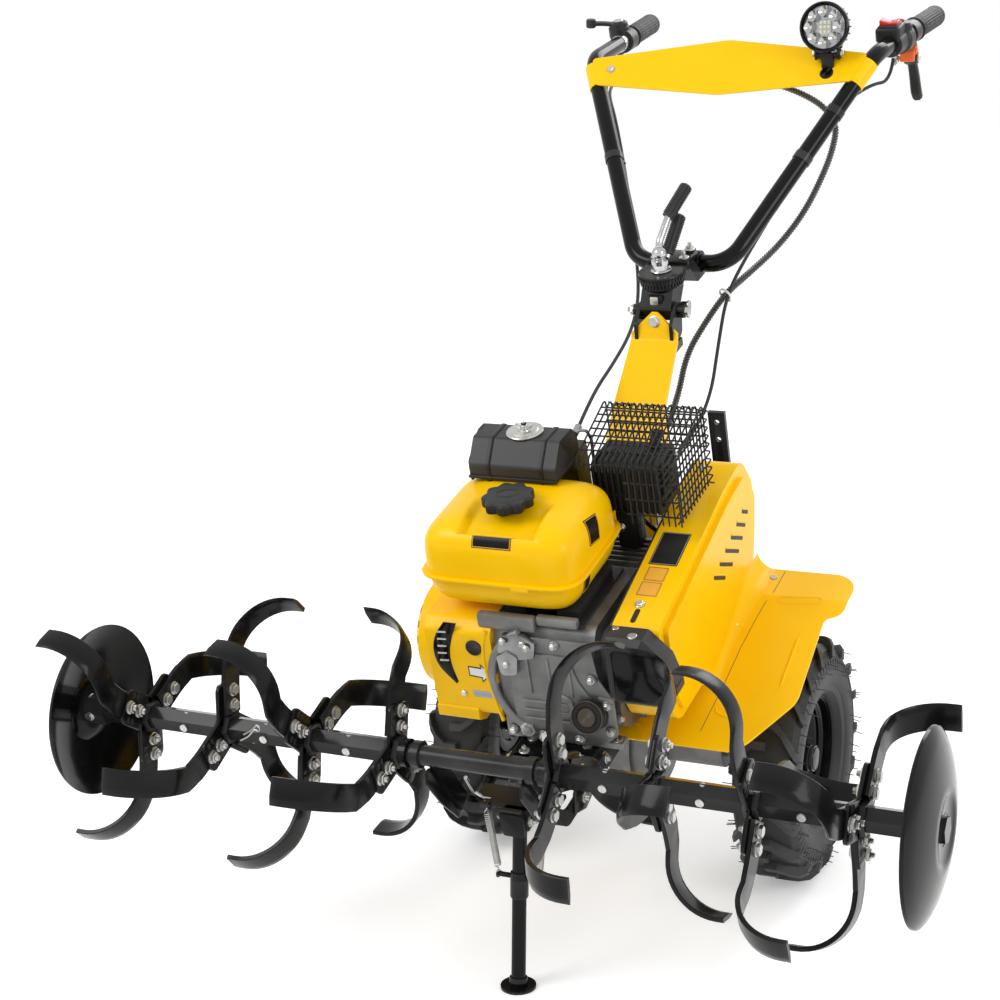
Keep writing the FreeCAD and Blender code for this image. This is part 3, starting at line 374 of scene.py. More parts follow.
plastic = material("blackPlastic", (0.005, 0.005, 0.005), (0.013, 0.013, 0.013), (0.3, 0.45), grain=1500.0,
                   relief=0.18, dust=0.03, edge=0.3, edgeColor=(0.2, 0.2, 0.2), specular=0.3)
# The conduit's full-strength light grey edge colour is a painted highlight on the ridges of its corrugation.
conduitPlastic = material("conduitPlastic", (0.008, 0.008, 0.008), (0.03, 0.03, 0.03), (0.22, 0.32),
                          relief=0.0,
                          dust=0.0, edge=1.0, edgeColor=(0.6, 0.6, 0.6), specular=0.8)
silencer = material("heatBlack", (0.005, 0.005, 0.005), (0.014, 0.014, 0.013), (0.4, 0.55), grain=800.0,
                    relief=0.3,
                    dust=0.03, edge=0.2, edgeColor=(0.2, 0.2, 0.2), specular=0.25)
brown = material("brownBakelite", (0.03, 0.018, 0.01), (0.07, 0.045, 0.025), (0.35, 0.5), relief=0.2)
red = material("redSwitch", (0.5, 0.01, 0.005), (0.72, 0.03, 0.01), (0.25, 0.35), relief=0.05, edge=0.0)
orange = material("orangePlastic", (0.7, 0.09, 0.01), (0.9, 0.16, 0.02), (0.3, 0.4), relief=0.08, edge=0.0)
ochre = material("ochreTape", (0.45, 0.36, 0.02), (0.62, 0.5, 0.04), (0.3, 0.45), relief=0.05, edge=0.0)
labelWhite = material("blankLabel", (0.72, 0.72, 0.7), (0.85, 0.85, 0.83), (0.3, 0.4), relief=0.03, edge=0.0,
                      dust=0.04)
labelGrey = material("greyLabel", (0.3, 0.3, 0.3), (0.42, 0.42, 0.41), (0.3, 0.42), relief=0.03, edge=0.0)
tieWhite = material("whiteNylon", (0.62, 0.62, 0.58), (0.8, 0.8, 0.76), (0.35, 0.5), relief=0.05, edge=0.0)
lens = material("ledLens", (0.3, 0.31, 0.32), (0.55, 0.56, 0.57), (0.04, 0.1), metallic=0.85, relief=0.0,
                dust=0.0,
                edge=0.0)
ledChip = material("ledChip", (0.5, 0.47, 0.3), (0.7, 0.67, 0.5), (0.3, 0.4), relief=0.0, dust=0.0, edge=0.0)
print("materials made")

# The finish of each slot in the record, and the slot of each finish.
slotMaterial = {"yellow": yellow, "black": black, "cast": cast, "steel": steel, "zinc": zinc,
                "silencer": silencer,
                "tyre": rubber, "grip": gripRubber, "plastic": plastic}
slotOf = {made: slotName for slotName, made in slotMaterial.items()}
slotOf.update({barBlack: "black", orangeLabel: "yellow", chrome: "steel", lens: "steel"})
for made in (conduitPlastic, brown, red, orange, ochre, labelWhite, labelGrey, tieWhite, ledChip):
    slotOf[made] = "plastic"
for part in frame["record"]["subparts"]:
    for slot in frame["nodes"][part["node"]].material_slots:
        slot.material = slotMaterial[part["material_slot"]]
for name in ("handlebar_tube", "rotor_shaft", "cable_clips"):
    for slot in frame["nodes"][name].material_slots:
        slot.material = barBlack


wheelAt = 267.0


# Carcass with sidewall rings, and chevron lugs that run over the shoulder.
def tyre(side):
    v = {"crown": 190.0, "top": 202.4, "half": 53.0, "bead": 103.6, "lugs": 18, "lugWidth": 13.0, "hairs": 72,
         "hairLength": 21.0, "hairThick": 0.75, "ribThick": 0.7}
    centre, top = wheelAt * side, v["top"]
    bm = bmesh.new()
    wall = [(32, v["bead"]), (38, 107), (46, 114), (48.4, 122), (48.4, 124.4), (50.4, 127), (v["half"], 146),
            (52.6, 156), (51, 166), (52, 168.6), (50, 172), (44, 182), (28, v["crown"] - 1), (9, v["crown"])]
    profile = [(-x, r) for x, r in wall] + wall[::-1]
    lathe(bm, [(centre + x, r) for x, r in profile], (0, 0, 0), (1, 0, 0), 96, closed=True)
    path = [(-6, 0.0, top), (14, 0.0, top), (30, 3.5, top - 0.5), (43, 8.5, top - 4), (52, 12.5, 189),
            (55.6, 14.5, 172)]  # across the tread, turn in degrees, height
    for half in (-1, 1):
        for k in range(v["lugs"]):
            start = 2 * pi * (k + (0.5 if half > 0 else 0.0)) / v["lugs"]
            rings = []
            for i, (x, turnBy, high) in enumerate(path):
                ring = []
                base = min(high - 3, 187.0 - 0.35 * max(0, x - 26)) if i < 5 else 168.0
                wide = v["lugWidth"] * (1.0 if i < 4 else 1.15)
                for along, r in ((-0.62, base), (-0.45, high), (0.45, high), (0.62, base)):
                    a = start + side * radians(turnBy) + along * wide / v["crown"]
                    inward = 4.0 if r == base and i > 3 else 0.0
                    ring.append(Vector((centre + half * (x - inward), r * cos(a), r * sin(a))))
                rings.append(ring)
            grow(bm, rings)
    for k in range(v["hairs"]):  # moulding hairs and sipes across the shoulders
        a = 2 * pi * k / v["hairs"]
        for half in (-1, 1):
            r = 186 - (k % 4) * 12
            foot = Vector((centre + half * (43 + (k % 4) * 2.6), r * cos(a), r * sin(a)))
            out = Vector((half, 0.18 * sin(5 * a), -0.12)).normalized()
            tube(bm, [foot - out * 3, foot + out * v["hairLength"] * (0.6 + 0.2 * (k % 3))], v["hairThick"],
                 4)
            ribbed = ((47.6, 176), (51.8, 166), (52.9, 150))
            tube(bm, [(centre + half * x, q * cos(a), q * sin(a)) for x, q in ribbed], v["ribThick"], 4)
    return piece(sideName[side] + "_tyre_tread", bm, rubber, body=sideName[side] + "_wheel")


# Rolled rim with a dished disc, hub sleeve, hub bolts and the valve.
def wheelRim(side):
    v = {"bolts": 5, "boltRing": 30.0, "firstBolt": 0.4, "valve": 0.9, "valveThick": 3.2}
    body = sideName[side] + "_wheel"
    centre = wheelAt * side
    bm = bmesh.new()

    def turned(profile, sides, closed=True):
        lathe(bm, [(centre + side * x, r) for x, r in profile], (0, 0, 0), (1, 0, 0), sides, closed)

    # Rolled rim, dished disc, hub sleeve and hub cap.
    turned([(-36, 116), (-38.5, 114), (-37, 110), (-33, 107), (-32, 103), (-20, 101), (-16, 94), (16, 94),
            (20, 101),
            (32, 103), (33, 107), (37, 110), (38.5, 114), (36, 116), (33.4, 113.4), (30.4, 108), (29.4, 100),
            (18, 98), (13, 91), (-13, 91), (-18, 98), (-29.4, 100), (-30.4, 108), (-33.4, 113.4)], 72)
    turned([(9, 92), (7, 88), (1, 84), (-3, 80), (-4, 72), (-1, 68), (-2, 62), (-12, 56), (-14, 48),
            (-12, 40),
            (-8, 36), (-8, 24), (-11, 24), (-11, 37), (-15, 40), (-17, 49), (-15, 58), (-5, 65), (-4, 69),
            (-7, 73),
            (-6, 82), (-2, 87), (5, 92)], 72)
    turned([(-28, 15.2), (28, 15.2), (28, 20), (26, 22.4), (12, 22.4), (10, 20.5), (-26, 20.5), (-28, 20)],
           40)
    turned([(28.4, 0.01), (28.4, 20), (33, 20.4), (36, 18), (37, 9), (37, 0.01)], 40, False)
    obj = piece(body + "_rim", bm, barBlack, body=body, angle=30)
    for k in range(v["bolts"]):
        a = 2 * pi * k / v["bolts"] + v["firstBolt"]
        bolt(body, (centre - side * 8, v["boltRing"] * cos(a), v["boltRing"] * sin(a)), (side, 0, 0), 13, 6,
             7)
    valve, a = bmesh.new(), v["valve"]
    tube(valve, [(centre + side * x, r * cos(a), r * sin(a)) for x, r in ((8, 90), (22, 84))],
         v["valveThick"], 10)
    piece(sideName[side] + "_valve", valve, gripRubber, body=body, slot="tyre", angle=40)
    return obj


for side, name in sideName.items():
    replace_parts(tyre(side), name + "_tyre")
    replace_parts(wheelRim(side), name + "_rim")
print("wheels made")


rotorY, rotorZ = -568.0, 354.0
bladeLag = 20.0  # degrees by which a blade's root runs behind its tip


# A point of the rotor by its radius and angle.
def polar(x, r, a):
    return Vector((x, rotorY + r * cos(a), rotorZ + r * sin(a)))


# Flat leg, sickle-shaped, that bends sideways into a broad tip; its leading edge is ground thin.
def tineBlade(bm, place, angle, side):
    v = {"reach": 193.5, "bend": 72.0, "gap": 9.0, "side": 91.0, "width": 40.0, "thick": 7.0, "plane": 6.6,
         "steps": 12, "taper": 13.0, "grind": 0.8}
    root = radians(angle + bladeLag)
    x0, bend, steps = v["plane"], v["bend"], v["steps"]

    def flat(share, fall):
        r = v["reach"] * share
        a = root - radians(bladeLag) * fall
        return Vector((r * cos(a), r * sin(a)))

    legLine = curve([Vector((*flat(s, f), 0)) for s,
                     f in ((0.12, 0.0), (0.45, 0.1), (0.72, 0.4), (1.0, 0.98))], 6)
    tipPoint = legLine[-1]
    leg = legLine[:next(k for k, q in enumerate(legLine) if (tipPoint - q).length < bend + v["gap"])]
    heading = (tipPoint - leg[-1]).normalized()
    bendAt = tipPoint - heading * bend
    line = [Vector((x0, q.x, q.y)) for q in leg]
    outwards = [Vector((1, 0, 0))] * len(line)
    for k in range(steps + 1):
        t = pi / 2 * k / steps
        q = bendAt + heading * (bend * sin(t))
        line.append(Vector((x0 + bend * (1 - cos(t)), q.x, q.y)))
        outwards.append(Vector((cos(t), -heading.x * sin(t), -heading.y * sin(t))))
    for k in (1, 2):
        line.append(Vector((x0 + bend + (v["side"] - x0 - bend) * k / 2, tipPoint.x, tipPoint.y)))
        outwards.append(outwards[-1])
    rings = []
    for k, at in enumerate(line):
        ahead = line[min(k + 1, len(line) - 1)] - line[max(k - 1, 0)]
        n = outwards[k]
        across = n.cross(ahead).normalized()
        h, w = v["thick"] / 2, v["width"] / 2
        ground = min(1.0, max(0.0, k / (len(line) - 1) - 0.25) * 3)
        edge, cut = w - v["taper"] * ground, h * (1.0 - v["grind"] * ground)
        shape = [(-w, -h + 1), (-w + 1, -h), (edge, -h), (w - 0.6, -cut + 0.2), (w, 0), (w - 0.6, cut - 0.2),
                 (edge, h),
                 (-w + 1, h), (-w, h - 1)]
        ring = []
        for a, b in shape:
            q = at + across * a + n * b
            ring.append(Vector((place + side * q.x, rotorY + q.y, rotorZ + q.z)))
        rings.append(ring)
    grow(bm, rings)


# Hexagonal hub with a flange plate, two bolts and a slotted back for each blade.
def tineSet(name, place, blades):
    v = {"bolts": (36, 60), "plate": 6.0, "slots": [(u, w) for u in (46, 56) for w in (-19, 19)]}
    bm, dark = bmesh.new(), bmesh.new()
    lathe(bm, [(-11, 18), (11, 18), (11, 23.5), (9, 24.6), (-9, 24.6), (-11, 23.5)], (place, rotorY, rotorZ),
          (1, 0, 0), 6, closed=True)
    for angle, side in blades:
        root, half = radians(angle + bladeLag), v["plate"] / 2
        turnTo = Matrix.Translation((0, rotorY, rotorZ)) @ Matrix.Rotation(root, 4, "X")
        outline = rounded([(8, -27), (70, -27), (70, 27), (8, 27)], [2, 11, 11, 2])
        slab(bm, outline, turnTo @ alongX(place - half), v["plate"], 0.8)
        tineBlade(bm, place, angle, side)
        for r in v["bolts"]:
            bolt("tine_rotor", polar(place + side * 10.2, r, root), (side, 0, 0), 15, 7)
            bolt("tine_rotor", polar(place - side * half, r, root), (-side, 0, 0), 15, 8, 5)
        # Dark patches on the plate's back stand for its slots: painted shade in the openings.
        for u, w in v["slots"]:
            back = alongX(place - 3.3 if side > 0 else place + 2.9)
            slab(dark, rounded(oblong(3, 5, u, w), 2.8), turnTo @ back, 0.4)
    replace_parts(piece(name + "_plates", bm, black, body="tine_rotor", angle=28), name)
    piece(name + "_slots", dark, silencer, body="tine_rotor", angle=40)


tines = {  # place along the shaft; each blade's angle and the side that it bends to
    "tine_set_right_4": (-553.0, ((113, -1), (233, -1), (353, 1))),
    "tine_set_right_3": (-411.0, ((52, 1), (172, -1), (292, 1))),
    "tine_set_right_2": (-269.0, ((107, -1), (227, -1), (347, 1))),
    "tine_set_right_1": (-126.0, ((44, -1), (164, -1), (284, -1))),
    "tine_set_left_1": (126.0, ((70, 1), (190, 1), (310, 1))),
    "tine_set_left_2": (269.0, ((25, -1), (145, 1), (265, 1))),
    "tine_set_left_3": (411.0, ((88, -1), (208, 1), (328, 1))),
    "tine_set_left_4": (553.0, ((11, 1), (131, -1), (251, -1))),
}
for name, (place, blades) in tines.items():
    tineSet(name, place, blades)

pins = {"places": (200.0, 340.0, 480.0), "half": 18.2, "thick": 4.2, "clipThick": 1.4}
bm = bmesh.new()
for side in (-1, 1):
    for place in pins["places"]:
        at = Vector((side * place, rotorY, rotorZ))
        for run in (Vector((0, 0, pins["half"])), Vector((0, pins["half"], 0))):
            tube(bm, [at - run, at + run], pins["thick"], 12)
        lathe(bm, [(-18.6, 0.01), (-18.6, 6.2), (-16.6, 6.6), (-16.6, 0.01)], at, (0, 1, 0), 16)
piece("shaft_pins", bm, zinc, body="tine_rotor", angle=40)

bm = bmesh.new()
for x, y, z in ((-372, rotorY - 19, rotorZ + 6), (240, rotorY - 19, rotorZ + 4)):
    clip = ((0, 0), (14, 9), (22, 16), (28, 20), (32, 15), (27, 10), (21, 11), (8, -2), (-8, -12))
    tube(bm, curve([(x + u, y, z + w) for u, w in clip], 5), pins["clipThick"], 8)
piece("shaft_clips", bm, zinc, body="tine_rotor", angle=40)


# Spun disc: rolled rim, dished face, a recess in the middle and the hub nut.
def endDisc(side):
    v = {"centre": 637.0, "sides": 96}
    centre = v["centre"] * side
    dish = [(0.4, 130.6), (2.4, 130.8), (7, 122), (13, 108), (20, 84), (24.6, 60), (26, 50), (24, 46),
            (22.4, 40),
            (22, 22), (25, 22), (25.6, 40), (27.4, 45), (29.2, 50), (27.6, 61), (23, 85), (16, 109),
            (10, 123),
            (5.2, 130), (3, 131), (0.6, 131)]
    hub = [(-10, 17.4), (24.8, 17.4), (24.8, 23), (-10, 24)]
    bm = bmesh.new()
    for profile, sides in ((dish, v["sides"]), (hub, 6)):
        lathe(bm, [(centre + side * x, r) for x, r in profile], (0, rotorY, rotorZ), (1, 0, 0), sides,
              closed=True)
    bolt("tine_rotor", (centre + side * 12, rotorY - 21, rotorZ), (0, -1, 0), 11, 5)
    return piece(sideName[side] + "_end_disc", bm, barBlack, body="tine_rotor", angle=30)


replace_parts(endDisc(1), "end_discs")
endDisc(-1)
print("tine rotor made")


# Pressed tank: domed top with a trough round the filler neck, a seam flange and a tucked-in lower half.
def fuelTank():
    v = {"centre": (-68.0, -199.5), "shell": (127.0, 105.0), "flange": (134.4, 111.8), "low": 430.6,
         "seam": 482.0,
         "top": 571.6, "shoulder": 13.0, "squareness": 6.5, "trough": 9.0, "troughHalf": 52.0, "cuts": 46}
    (cx, cy), (hx, hy), power = v["centre"], v["shell"], v["squareness"]
    crest = v["top"] - v["shoulder"]
    bm = bmesh.new()
    bmesh.ops.create_cube(bm, size=2.0)
    bmesh.ops.subdivide_edges(bm, edges=bm.edges[:], cuts=v["cuts"], use_grid_fill=True)
    for vert in bm.verts:
        u, w, s = vert.co
        reach = max(abs(u), abs(w))
        if abs(s) < 0.9999:  # a side wall, with a rounded shoulder above and tucked in below
            shrink = 1.0 - 0.015 * s - 0.15 * s ** 6 if s > 0 else 0.985 - 0.12 * abs(s) ** 3
            z = v["seam"] + (crest - v["seam"] if s > 0 else v["seam"] - v["low"] - 6) * s
        elif s > 0:
            shrink, z = 0.835, v["top"] - v["shoulder"] * reach ** 4
        else:
            shrink, z = 0.865, v["low"] + 6 * reach ** 6
        corner = (abs(u) ** power + abs(w) ** power) ** (1 / power)
        scale = shrink * reach / corner if corner > 0 else shrink
        vert.co = Vector((cx + u * hx * scale, cy + w * hy * scale, z))
        if s > 0.9999:  # the trough round the neck
            dx, dy = vert.co.x - (cx + 6), vert.co.y - (cy - 28)
            across = max(0.0, 1 - max(0.0, abs(dx) - v["troughHalf"]) / 13)
            behind = 1.0 if dy < 16 else max(0.0, 1 - (dy - 16) / 14)
            blend = across * across * (3 - 2 * across) * behind
            ahead = min(1.0, max(0.0, (84 + dy) / 26))
            vert.co.z -= v["trough"] * blend * ahead * (0.75 + 0.012 * max(0.0, 30 - dy))
    flange = []
    for k in range(96):
        a = 2 * pi * k / 96
        c, s = cos(a), sin(a)
        n = (abs(c) ** power + abs(s) ** power) ** (-1 / power)
        flange.append((cx + v["flange"][0] * n * c, cy + v["flange"][1] * n * s))
    slab(bm, flange, alongZ(v["seam"] - 2), 5.4, 1.8)
    obj = piece("tank_shell", bm, yellow, angle=40)
    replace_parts(obj, "fuel_tank")
    for ear, low, high in (("side", (-203, -282, 474), (-194, -262, 482)),
                           ("front", (-40, -312, 474), (-10, -306, 482))):
        bm = bmesh.new()
        block(bm, low, high, 2.5)
        piece("tank_ear_" + ear, bm, yellow, angle=35)
    return obj


tankShell = fuelTank()


# Lobed filler cap with a raised oval.
def fuelCap():
    v = {"at": (-62.0, -228.0), "low": 572.0, "high": 597.0, "r": 38.5, "lobe": 2.4, "lobes": 9, "turn": 0.35}
    base, high = (*v["at"], v["low"]), v["high"] - v["low"]
    outline = []
    for k in range(144):
        a = 2 * pi * k / 144
        notch = 1.2 if abs(cos(v["lobes"] * a / 2)) < 0.2 else 0
        r = v["r"] + v["lobe"] * max(-0.75, cos(v["lobes"] * a)) - notch
        outline.append((v["at"][0] + r * cos(a), v["at"][1] + r * sin(a)))
    bm = bmesh.new()
    slab(bm, outline, alongZ(v["low"] + 4), high - 7, 4.0, 4)
    lathe(bm, [(0, 0.01), (0, 27), (4, 28.5), (6, 28.5), (6, 0.01)], base, (0, 0, 1), 48)
    lathe(bm, [(high - 4, 29), (high - 2.6, 28), (high - 1.4, 18), (high - 1.2, 0.01)], base, (0, 0, 1), 48)
    ring = bmesh.new()
    tube(ring, [(18 * cos(2 * pi * k / 48), 11 * sin(2 * pi * k / 48), 0) for k in range(49)], 1.3, 8,
         caps=False)
    absorb(bm, ring, Matrix.Translation((*v["at"], v["high"] - 1.6)) @ Matrix.Rotation(v["turn"], 4, "Z"))
    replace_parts(piece("filler_cap", bm, plastic), "fuel_cap")


fuelCap()


# A blank plate or sticker with a thin printed frame.
def label(name, at, out, up, size, material, frameMaterial, inset=1.6):
    v = {"thick": 1.2, "sunk": 0.8, "line": 0.45, "corner": 1.6}
    place, (wide, high) = facing(at, out, up), size
    bm = bmesh.new()
    slab(bm, rounded(oblong(wide / 2, high / 2), v["corner"]), place @ alongZ(-v["sunk"]), v["thick"])
    piece(name, bm, material, angle=40)
    bm = bmesh.new()
    corners = oblong(wide / 2 - inset, high / 2 - inset)
    for k in range(4):
        tube(bm, [(*corners[k - 1], v["line"]), (*corners[k], v["line"])], v["line"], 6)
    bm.transform(place)
    piece(name + "_frame", bm, frameMaterial, slot=slotOf[material], angle=40)


# A blank sticker laid on a curved shell: each point is cast onto it.
def sticker(name, shell, at, out, up, size, material, frameMaterial):
    v = {"lift": 0.7, "skirt": 1.4, "line": 0.5, "inset": 1.6, "steps": 10}
    back, mesh, (wide, high) = toWorld.inverted(), shell.data, size
    hull = BVHTree.FromPolygons([back @ v.co for v in mesh.vertices],
                                [list(p.vertices) for p in mesh.polygons])
    place = facing(at, out, up)
    inwards = -place.col[2].to_3d()

    def laid(u, w, lift):
        start = place @ Vector((u, w, 40))
        hit = hull.ray_cast(start, inwards)[0]
        return hit - inwards * lift if hit else place @ Vector((u, w, lift))

    bm = bmesh.new()
    bmesh.ops.create_grid(bm, x_segments=14, y_segments=10, size=0.5)
    for vert in bm.verts:
        vert.co = laid(vert.co.x * wide, vert.co.y * high, v["lift"])
    skirt = bmesh.ops.extrude_edge_only(bm, edges=[e for e in bm.edges if e.is_boundary])["geom"]
    for vert in (g for g in skirt if isinstance(g, bmesh.types.BMVert)):
        vert.co += inwards * v["skirt"]
    bmesh.ops.holes_fill(bm, edges=[e for e in bm.edges if e.is_boundary], sides=0)
    piece(name, bm, material, angle=40)
    bm, steps = bmesh.new(), v["steps"]
    corners = oblong(wide / 2 - v["inset"], high / 2 - v["inset"])
    for (u0, w0), (u1, w1) in zip(corners, corners[1:] + corners[:1]):
        run = [(u0 + (u1 - u0) * k / steps, w0 + (w1 - w0) * k / steps) for k in range(steps + 1)]
        tube(bm, [laid(u, w, v["lift"] + 0.1) for u, w in run], v["line"], 6)
    piece(name + "_frame", bm, frameMaterial, slot=slotOf[material], angle=40)


tankLabels = {  # place, outwards, upwards, width and height
    "front": ((-66, -296, 549), (0.0, -0.8, 0.6), (0, 0, 1), (64, 20)),
    "side_high": ((56, -200, 527), (1, 0, 0.12), (0, 0.18, 1), (38, 40)),
    "side_low": ((58, -245, 461), (1, 0, -0.1), (0, 0.1, 1), (24, 30)),
}
for name, (at, out, up, size) in tankLabels.items():
    sticker("tank_label_" + name, tankShell, at, out, up, size, black, orangeLabel)


# Filter housing: raised bands over the lid, seam, clamp plate and wing nut.
def airCleaner():
    v = {"bands": ((-133, -126), (-44, -37)), "centre": (-84, -98, 630), "wingThick": 2.2, "pipeThick": 2.6}
    lid = [(-154, 560), (-154, 597), (-123, 632), (-76, 632), (-57, 614), (-57, 560)]
    bm = bmesh.new()
    for low, high in v["bands"]:
        slab(bm, rounded(lid, [2, 9, 8, 12, 10, 2]), alongX(low), high - low, 1.4)
    slab(bm, rounded([(-155.6, 574), (-155.6, 579), (-55.4, 579), (-55.4, 574)], 1.2), alongX(-163.4), 148.8,
         1.0)
    end = [(-100, 631), (-148, 600), (-148, 566), (-60, 566), (-60, 612), (-78, 631)]
    slab(bm, rounded(end, [8, 8, 2, 2, 8, 8]), alongX(-164.4), 4, 1.2)
    piece("filter_bands", bm, plastic)
    bm = bmesh.new()
    plate = [(0.2, 29), (2.2, 29.6), (3.4, 28.6), (3.2, 22), (4.4, 20), (4.2, 9), (6, 8), (6, 0.01)]
    nut, stud = [(5, 5.6), (12, 5.2), (13, 4), (13, 0.01)], [(12, 2.4), (17.4, 2.4), (18, 1.6), (18, 0.01)]
    for profile, sides in ((plate, 56), (nut, 16), (stud, 10)):
        lathe(bm, profile, v["centre"], (0, 0, 1), sides)
    wing = Matrix.Translation((-84, -97, 630)) @ Matrix.Rotation(pi / 2, 4, "X")
    for side in (-1, 1):
        ear = [(0, 4), (side * 6, 4), (side * 13, 9), (side * 15, 14), (side * 11, 15.4), (side * 5, 12),
               (0, 12)]
        slab(bm, rounded(ear[::side], 1.2), wing, v["wingThick"], 0.7)
    piece("filter_plate", bm, zinc)
    bm = bmesh.new()  # breather pipe, from the housing down behind it
    tube(bm, arcs([(-20, -52, 612), (-4, -48, 614), (-4, -34, 590), (-8, -34, 430)], [9, 14]),
         v["pipeThick"], 10)
    tube(bm, [(-20, -58, 610), (-20, -40, 614)], 6, 12)
    piece("breather_pipe", bm, steel, angle=40)


airCleaner()


# Front of the crankcase: cast cover with ribs, flange round the crankshaft, bosses and the governor plate.
def crankcase():
    v = {"front": -310.0, "ribs": (252, 268, 284), "posts": (-30, 4, 38), "feet": (-72, 92),
         "bosses": ((-70, 226), (-20, 222), (40, 222), (94, 244), (94, 292), (74, 336), (70, 388), (20, 390),
                    (-30, 390)),
         "coverScrews": ((-296, 398), (-256, 404), (-214, 404), (-176, 404), (-140, 404), (-296, 340),
                         (-296, 300), (-296, 256))}
    front = v["front"]
    toFront, ahead = alongY(front + 1), (0, -1, 0)
    bm = bmesh.new()
    cover = [(-82, 214), (78, 214), (104, 236), (104, 300), (84, 336), (78, 398), (-40, 398), (-58, 372),
             (-80, 350)]
    slab(bm, rounded(cover, 9), toFront, 5, 2.2)
    inner = [(-64, 232), (58, 232), (74, 250), (70, 300), (52, 330), (40, 372), (-26, 372), (-60, 336)]
    slab(bm, rounded(inner, 12), toFront, 9, 3.2)
    section = [(-6.5, -5), (6.5, -5), (6.5, 5.6), (4.6, 7.4), (-4.6, 7.4), (-6.5, 5.6)]
    rings = []
    for turn in range(112, 252, 7):  # curved rib at the right
        x, z = -2 + 90 * cos(radians(turn)), 316 + 96 * sin(radians(turn))
        out = Vector((x + 2, 0, z - 316)).normalized()
        rings.append([Vector((x, front - 3 - b, z)) + out * a for a, b in section])
    grow(bm, rings)
    for z in v["ribs"]:
        block(bm, (-46, front - 11, z), (30, front - 6, z + 4), 1.6)
    for x in v["posts"]:
        block(bm, (x, front - 10.6, 300), (x + 4, front - 6, 366), 1.6)
    for x, z in v["bosses"]:
        lathe(bm, [(0, 9.6), (8, 8.6), (9.4, 7.4), (9.4, 0.01)], (x, front, z), ahead, 20)
        bolt("chassis", (x, front - 9.2, z), ahead, 9, 5)
    lathe(bm, [(0, 24), (10, 22), (12, 20), (12, 13), (9, 12), (9, 0.01)], (20, front, 282), ahead, 36)
    block(bm, (-88, front + 3, 204), (106, front + 26, 216), 3)
    for x in v["feet"]:
        bolt("chassis", (x, front + 14, 216), (0, 0, 1), 14, 8, 5)
    for y, z in v["coverScrews"]:  # round the gear cover's edge
        lathe(bm, [(0, 8.4), (6, 7.6), (7.4, 6.6), (7.4, 0.01)], (98, y, z), (1, 0, 0), 18)
        bolt("chassis", (105, y, z), (1, 0, 0), 8, 4.5)
    block(bm, (80, -318, 296), (104, -300, 306), 3)
    piece("crankcase_cover", bm, cast)

    bm = bmesh.new()  # governor plate and the bracket under the tank
    slab(bm, rounded([(-56, 356), (-14, 366), (-8, 392), (-30, 404), (-66, 400), (-74, 372)], 7), toFront,
         13.4, 1.2)
    slab(bm, rounded([(-72, 330), (-44, 334), (-40, 366), (-58, 376), (-76, 364)], 8), toFront, 16.4, 1.2)
    piece("governor_plate", bm, steel)
    for x, z in ((-60, 394), (-22, 386), (-60, 352)):
        bolt("chassis", (x, front - 15.4, z), ahead, 9, 4.5)
    bm = bmesh.new()
    block(bm, (-106, -312, 404), (-10, -296, 430), 5)
    block(bm, (-10, -306, 414), (58, -292, 430), 4)
    piece("tank_cradle", bm, cast, slot="steel", angle=35)
    bm = bmesh.new()  # oil plug with grip ridges and a brown core
    plugAt, rod = Vector((67, -304, 268)), Vector((0.0, -0.93, 0.36)).normalized()
    lathe(bm, [(-8, 0.01), (-8, 23), (0, 26), (7, 26), (8, 24.6), (12, 24.6), (13, 26), (19, 26), (20, 24.6),
               (24, 24.6), (25, 26), (31, 26), (37, 22), (37.6, 17), (36, 15.6), (36, 0.01)], plugAt, rod, 44)
    piece("oil_plug", bm, silencer, slot="plastic")
    bm = bmesh.new()
    lathe(bm, [(35, 15.2), (37.4, 14), (38.4, 9), (38.4, 0.01)], plugAt, rod, 28)
    for at in (8.6, 20.6, 32.6):
        lathe(bm, [(at, 24), (at + 0.2, 25.4), (at + 3, 25.4), (at + 3.2, 24)], plugAt, rod, 44)
    piece("oil_plug_core", bm, brown)
    bm = bmesh.new()
    lathe(bm, [(0, 13), (8, 13), (8, 9), (14, 9), (14, 0.01)], (-44, front - 4, 232), ahead, 6)
    piece("drain_plug", bm, zinc, angle=30)


crankcase()


